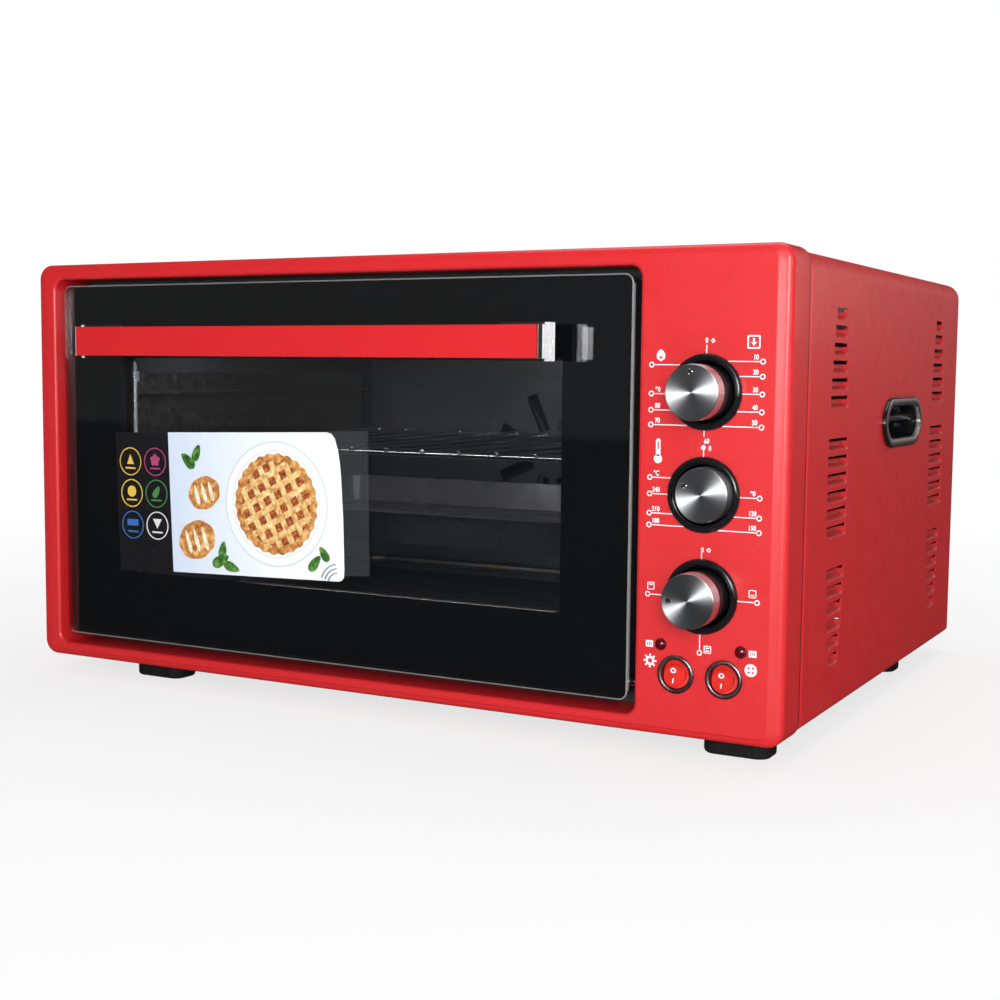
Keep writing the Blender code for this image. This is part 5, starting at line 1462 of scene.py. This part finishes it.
def add_floor():
    """A pale floor that keeps the oven's shadow and looks white to the camera."""
    mesh = bmesh.new()
    half = 4.0
    mesh.faces.new([mesh.verts.new((x, y, 0.0)) for x, y in ((-half, -half), (half, -half), (half, half),
                                                             (-half, half))])
    data = bpy.data.meshes.new("floor")
    mesh.to_mesh(data)
    mesh.free()
    floor = bpy.data.objects.new("floor", data)
    bpy.context.scene.collection.objects.link(floor)
    made = bpy.data.materials.new("floor_white")
    made.use_nodes = True
    tree = made.node_tree
    matt = tree.nodes["Principled BSDF"]
    matt.inputs["Base Color"].default_value = (0.82, 0.82, 0.82, 1.0)
    matt.inputs["Roughness"].default_value = 0.9
    matt.inputs["Specular IOR Level"].default_value = 0.1
    white = tree.nodes.new("ShaderNodeEmission")
    white.inputs["Strength"].default_value = 1.0
    dark = tree.nodes.new("ShaderNodeEmission")
    dark.inputs["Strength"].default_value = 0.022
    place = tree.nodes.new("ShaderNodeTexCoord")
    length = tree.nodes.new("ShaderNodeVectorMath")
    length.operation = "LENGTH"
    fade = tree.nodes.new("ShaderNodeMapRange")
    fade.inputs["From Min"].default_value = 0.45
    fade.inputs["From Max"].default_value = 1.3
    fade.inputs["To Min"].default_value = 0.74
    fade.inputs["To Max"].default_value = 1.0
    rays = tree.nodes.new("ShaderNodeLightPath")
    amount = tree.nodes.new("ShaderNodeMath")
    amount.operation = "MULTIPLY"
    mix = tree.nodes.new("ShaderNodeMixShader")
    shine = tree.nodes.new("ShaderNodeMixShader")
    links = tree.links
    links.new(place.outputs["Object"], length.inputs[0])
    links.new(length.outputs["Value"], fade.inputs["Value"])
    links.new(rays.outputs["Is Camera Ray"], amount.inputs[0])
    links.new(fade.outputs["Result"], amount.inputs[1])
    links.new(rays.outputs["Is Glossy Ray"], shine.inputs["Fac"])
    links.new(matt.outputs["BSDF"], shine.inputs[1])
    links.new(dark.outputs["Emission"], shine.inputs[2])
    links.new(amount.outputs["Value"], mix.inputs["Fac"])
    links.new(shine.outputs["Shader"], mix.inputs[1])
    links.new(white.outputs["Emission"], mix.inputs[2])
    links.new(mix.outputs["Shader"], tree.nodes["Material Output"].inputs["Surface"])
    data.materials.append(made)


def add_studio():
    add_world()
    add_floor()
    middle = (0.05, -0.05, 0.15)
    add_area("flash", (0.76, -1.30, 0.42), middle, 0.35, 7.5)
    add_area("front_fill", (1.2, -2.5, 1.1), middle, 1.5, 18.0)
    add_area("dial_strip", (0.50, -2.20, 0.32), (0.25, -0.24, 0.17), 0.6, 9.0, tall=0.35)
    add_area("right_strip", (1.75, -1.05, 0.45), (0.27, -0.22, 0.2), 0.12, 4.4, tall=1.1)
    add_area("top", (0.0, 0.3, 2.2), middle, 1.8, 22.0)
    add_area("side_sheen", (1.8, 2.3, 1.1), (0.3, 0.0, 0.2), 1.6, 9.0, (1.0, 0.90, 0.82))
    add_area("side_fill", (2.4, -0.6, 1.3), middle, 1.2, 2.0, glossy=False)
    add_area("left_fill", (-2.2, 0.2, 0.9), middle, 1.4, 8.0, glossy=False)
    add_area("back_fill", (0.0, 2.6, 1.2), middle, 1.4, 14.0, glossy=False)
    inside = add_area("oven_light", (-0.041, -0.155, 0.272), (-0.041, 0.12, 0.12), 0.32, 0.9, tall=0.03)
    inside.visible_camera = False
    below = add_area("oven_light_low", (-0.041, -0.160, 0.10), (-0.041, 0.12, 0.05), 0.32, 0.35, tall=0.02)
    below.visible_camera = False


def main():
    scene = bpy.context.scene
    scene.view_settings.view_transform = "Standard"
    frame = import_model()
    nodes = frame["nodes"]
    shell_red = seam_shading(painted("red_powder_paint", (0.889, 0.0194, 0.025), 0.42), FRONT_Y + FRAME_DEPTH)
    # A darker copy of the red paint for the louvre flaps: painted shade in the recesses
    flap_red_painted_shade = painted("red_paint_with_painted_recess_shade", (0.50, 0.011, 0.014), 0.50)
    handle_red = painted("handle_red", (0.64, 0.013, 0.017), 0.36)
    black = plastic("black_gloss_plastic", (0.006, 0.006, 0.007), 0.12)
    matt_black = plastic("black_satin_plastic", (0.012, 0.012, 0.013), 0.38)
    rubber = plastic("foot_rubber", (0.010, 0.010, 0.011), 0.36)
    shade = plastic("pointer_shade", (0.002, 0.002, 0.002), 0.5)
    cavity_enamel = enamel("cavity_enamel", (0.040, 0.042, 0.047), 0.34)
    door_enamel = enamel("door_enamel", (0.012, 0.012, 0.014), 0.30)
    tray_enamel = enamel("tray_enamel", (0.070, 0.070, 0.076), 0.28)
    chrome = metal("bright_plate", (0.78, 0.78, 0.80), 0.14)
    wire = metal("wire_plate", (0.80, 0.80, 0.82), 0.18)
    zinc = galvanised("zinc_sheet")
    sheath = metal("heater_sheath", (0.30, 0.28, 0.27), 0.38)
    panel_steel = metal("inner_panel_steel", (0.60, 0.61, 0.62), 0.30, (60.0, 1.0, 1.0), 60.0)
    seal = plastic("seal_silicone", (0.05, 0.05, 0.052), 0.6)
    lens = plastic_with_painted_glow("lens_red", (0.09, 0.003, 0.005), 0.06, 0.0)
    # The rocker's emission is a painted glow: the switch has no lamp
    rocker_red = plastic_with_painted_glow("rocker_red", (0.70, 0.012, 0.003), 0.42, 0.12)
    rim_grey = metal("metallised_grey", (0.34, 0.29, 0.31), 0.30)
    grip_grey = metal("grip_rim_grey", (0.40, 0.37, 0.37), 0.40)
    cast = metal("cast_plate", (0.93, 0.95, 0.98), 0.30, (1.0, 1.0, 1.0), 220.0)
    shader_of(cast).inputs["Metallic"].default_value = 0.20
    # The guide posts glow a little: painted light that keeps them bright inside the dark cavity
    glowing_post_steel = metal("glowing_post_steel", (0.90, 0.92, 0.95), 0.30, (1.0, 1.0, 8.0), 160.0, 0.3)
    shader_of(glowing_post_steel).inputs["Emission Color"].default_value = (0.80, 0.90, 1.0, 1.0)
    shader_of(glowing_post_steel).inputs["Emission Strength"].default_value = 0.30
    white = ink("white_ink", (0.86, 0.82, 0.84))
    pane = glass("tinted_pane", (0.004, 0.005, 0.006), 0.28)
    inner_pane = glass("inner_pane", (0.006, 0.007, 0.008), 0.08)
    border = ink("border_black", (0.0025, 0.0025, 0.003), 0.03, IOR=2.6)
    edge = make_material("glass_edge", (0.40, 0.43, 0.43), 0.35)
    vary(edge, "Roughness", noise(edge, 400.0), 0.25, 0.45)
    lamp_glass = glass("lamp_glass", (0.85, 0.85, 0.82), 0.5, 0.05)
    dress_nodes(nodes, (
        (handle_red, ("handle_bar",)),
        (zinc, ("rear_panel", "base_plate", "control_bracket", "hinge_bracket_left", "hinge_bracket_right",
                "timer_mechanism", "thermostat_body", "fan_motor")),
        (matt_black, ("cord_gland", "selector_switch", "handle_spacer_left", "handle_spacer_right")),
        (cavity_enamel, ("oven_cavity", "fan_guard", "fan_impeller")),
        (door_enamel, ("door_frame",)),
        (tray_enamel, ("baking_tray",)),
        (chrome, ("timer_shaft", "thermostat_shaft", "selector_shaft", "hinge_pin_left", "hinge_pin_right",
                  "hinge_arm_left", "hinge_arm_right")),
        (sheath, ("heater_bottom", "heater_top", "rack_guide_left", "rack_guide_right")),
        (panel_steel, ("door_inner_panel",)),
        (seal, ("door_seal",)),
        (pane, ("door_glass_outer",)),
        (inner_pane, ("door_glass_inner",)),
        (lamp_glass, ("oven_lamp",)),
    ))
    printed_marks(white)
    bezels(black)
    knobs(black, shade, chrome)
    switches(rim_grey, rocker_red, white)
    lamp_lenses(lens)
    louvre_flaps(flap_red_painted_shade)
    bar_black = plastic("bar_gloss_plastic", (0.010, 0.011, 0.014), 0.14)
    shader_of(bar_black).inputs["IOR"].default_value = 2.4
    side_grips(grip_grey, black, bar_black)
    front_shell(shell_red)
    cover_shell(shell_red)
    feet(rubber)
    handle_brackets(cast, matt_black)
    door_glass(edge, border)
    door_label()
    wire_rack(wire)
    guide_posts(glowing_post_steel)
    add_studio()
    add_camera()


main()
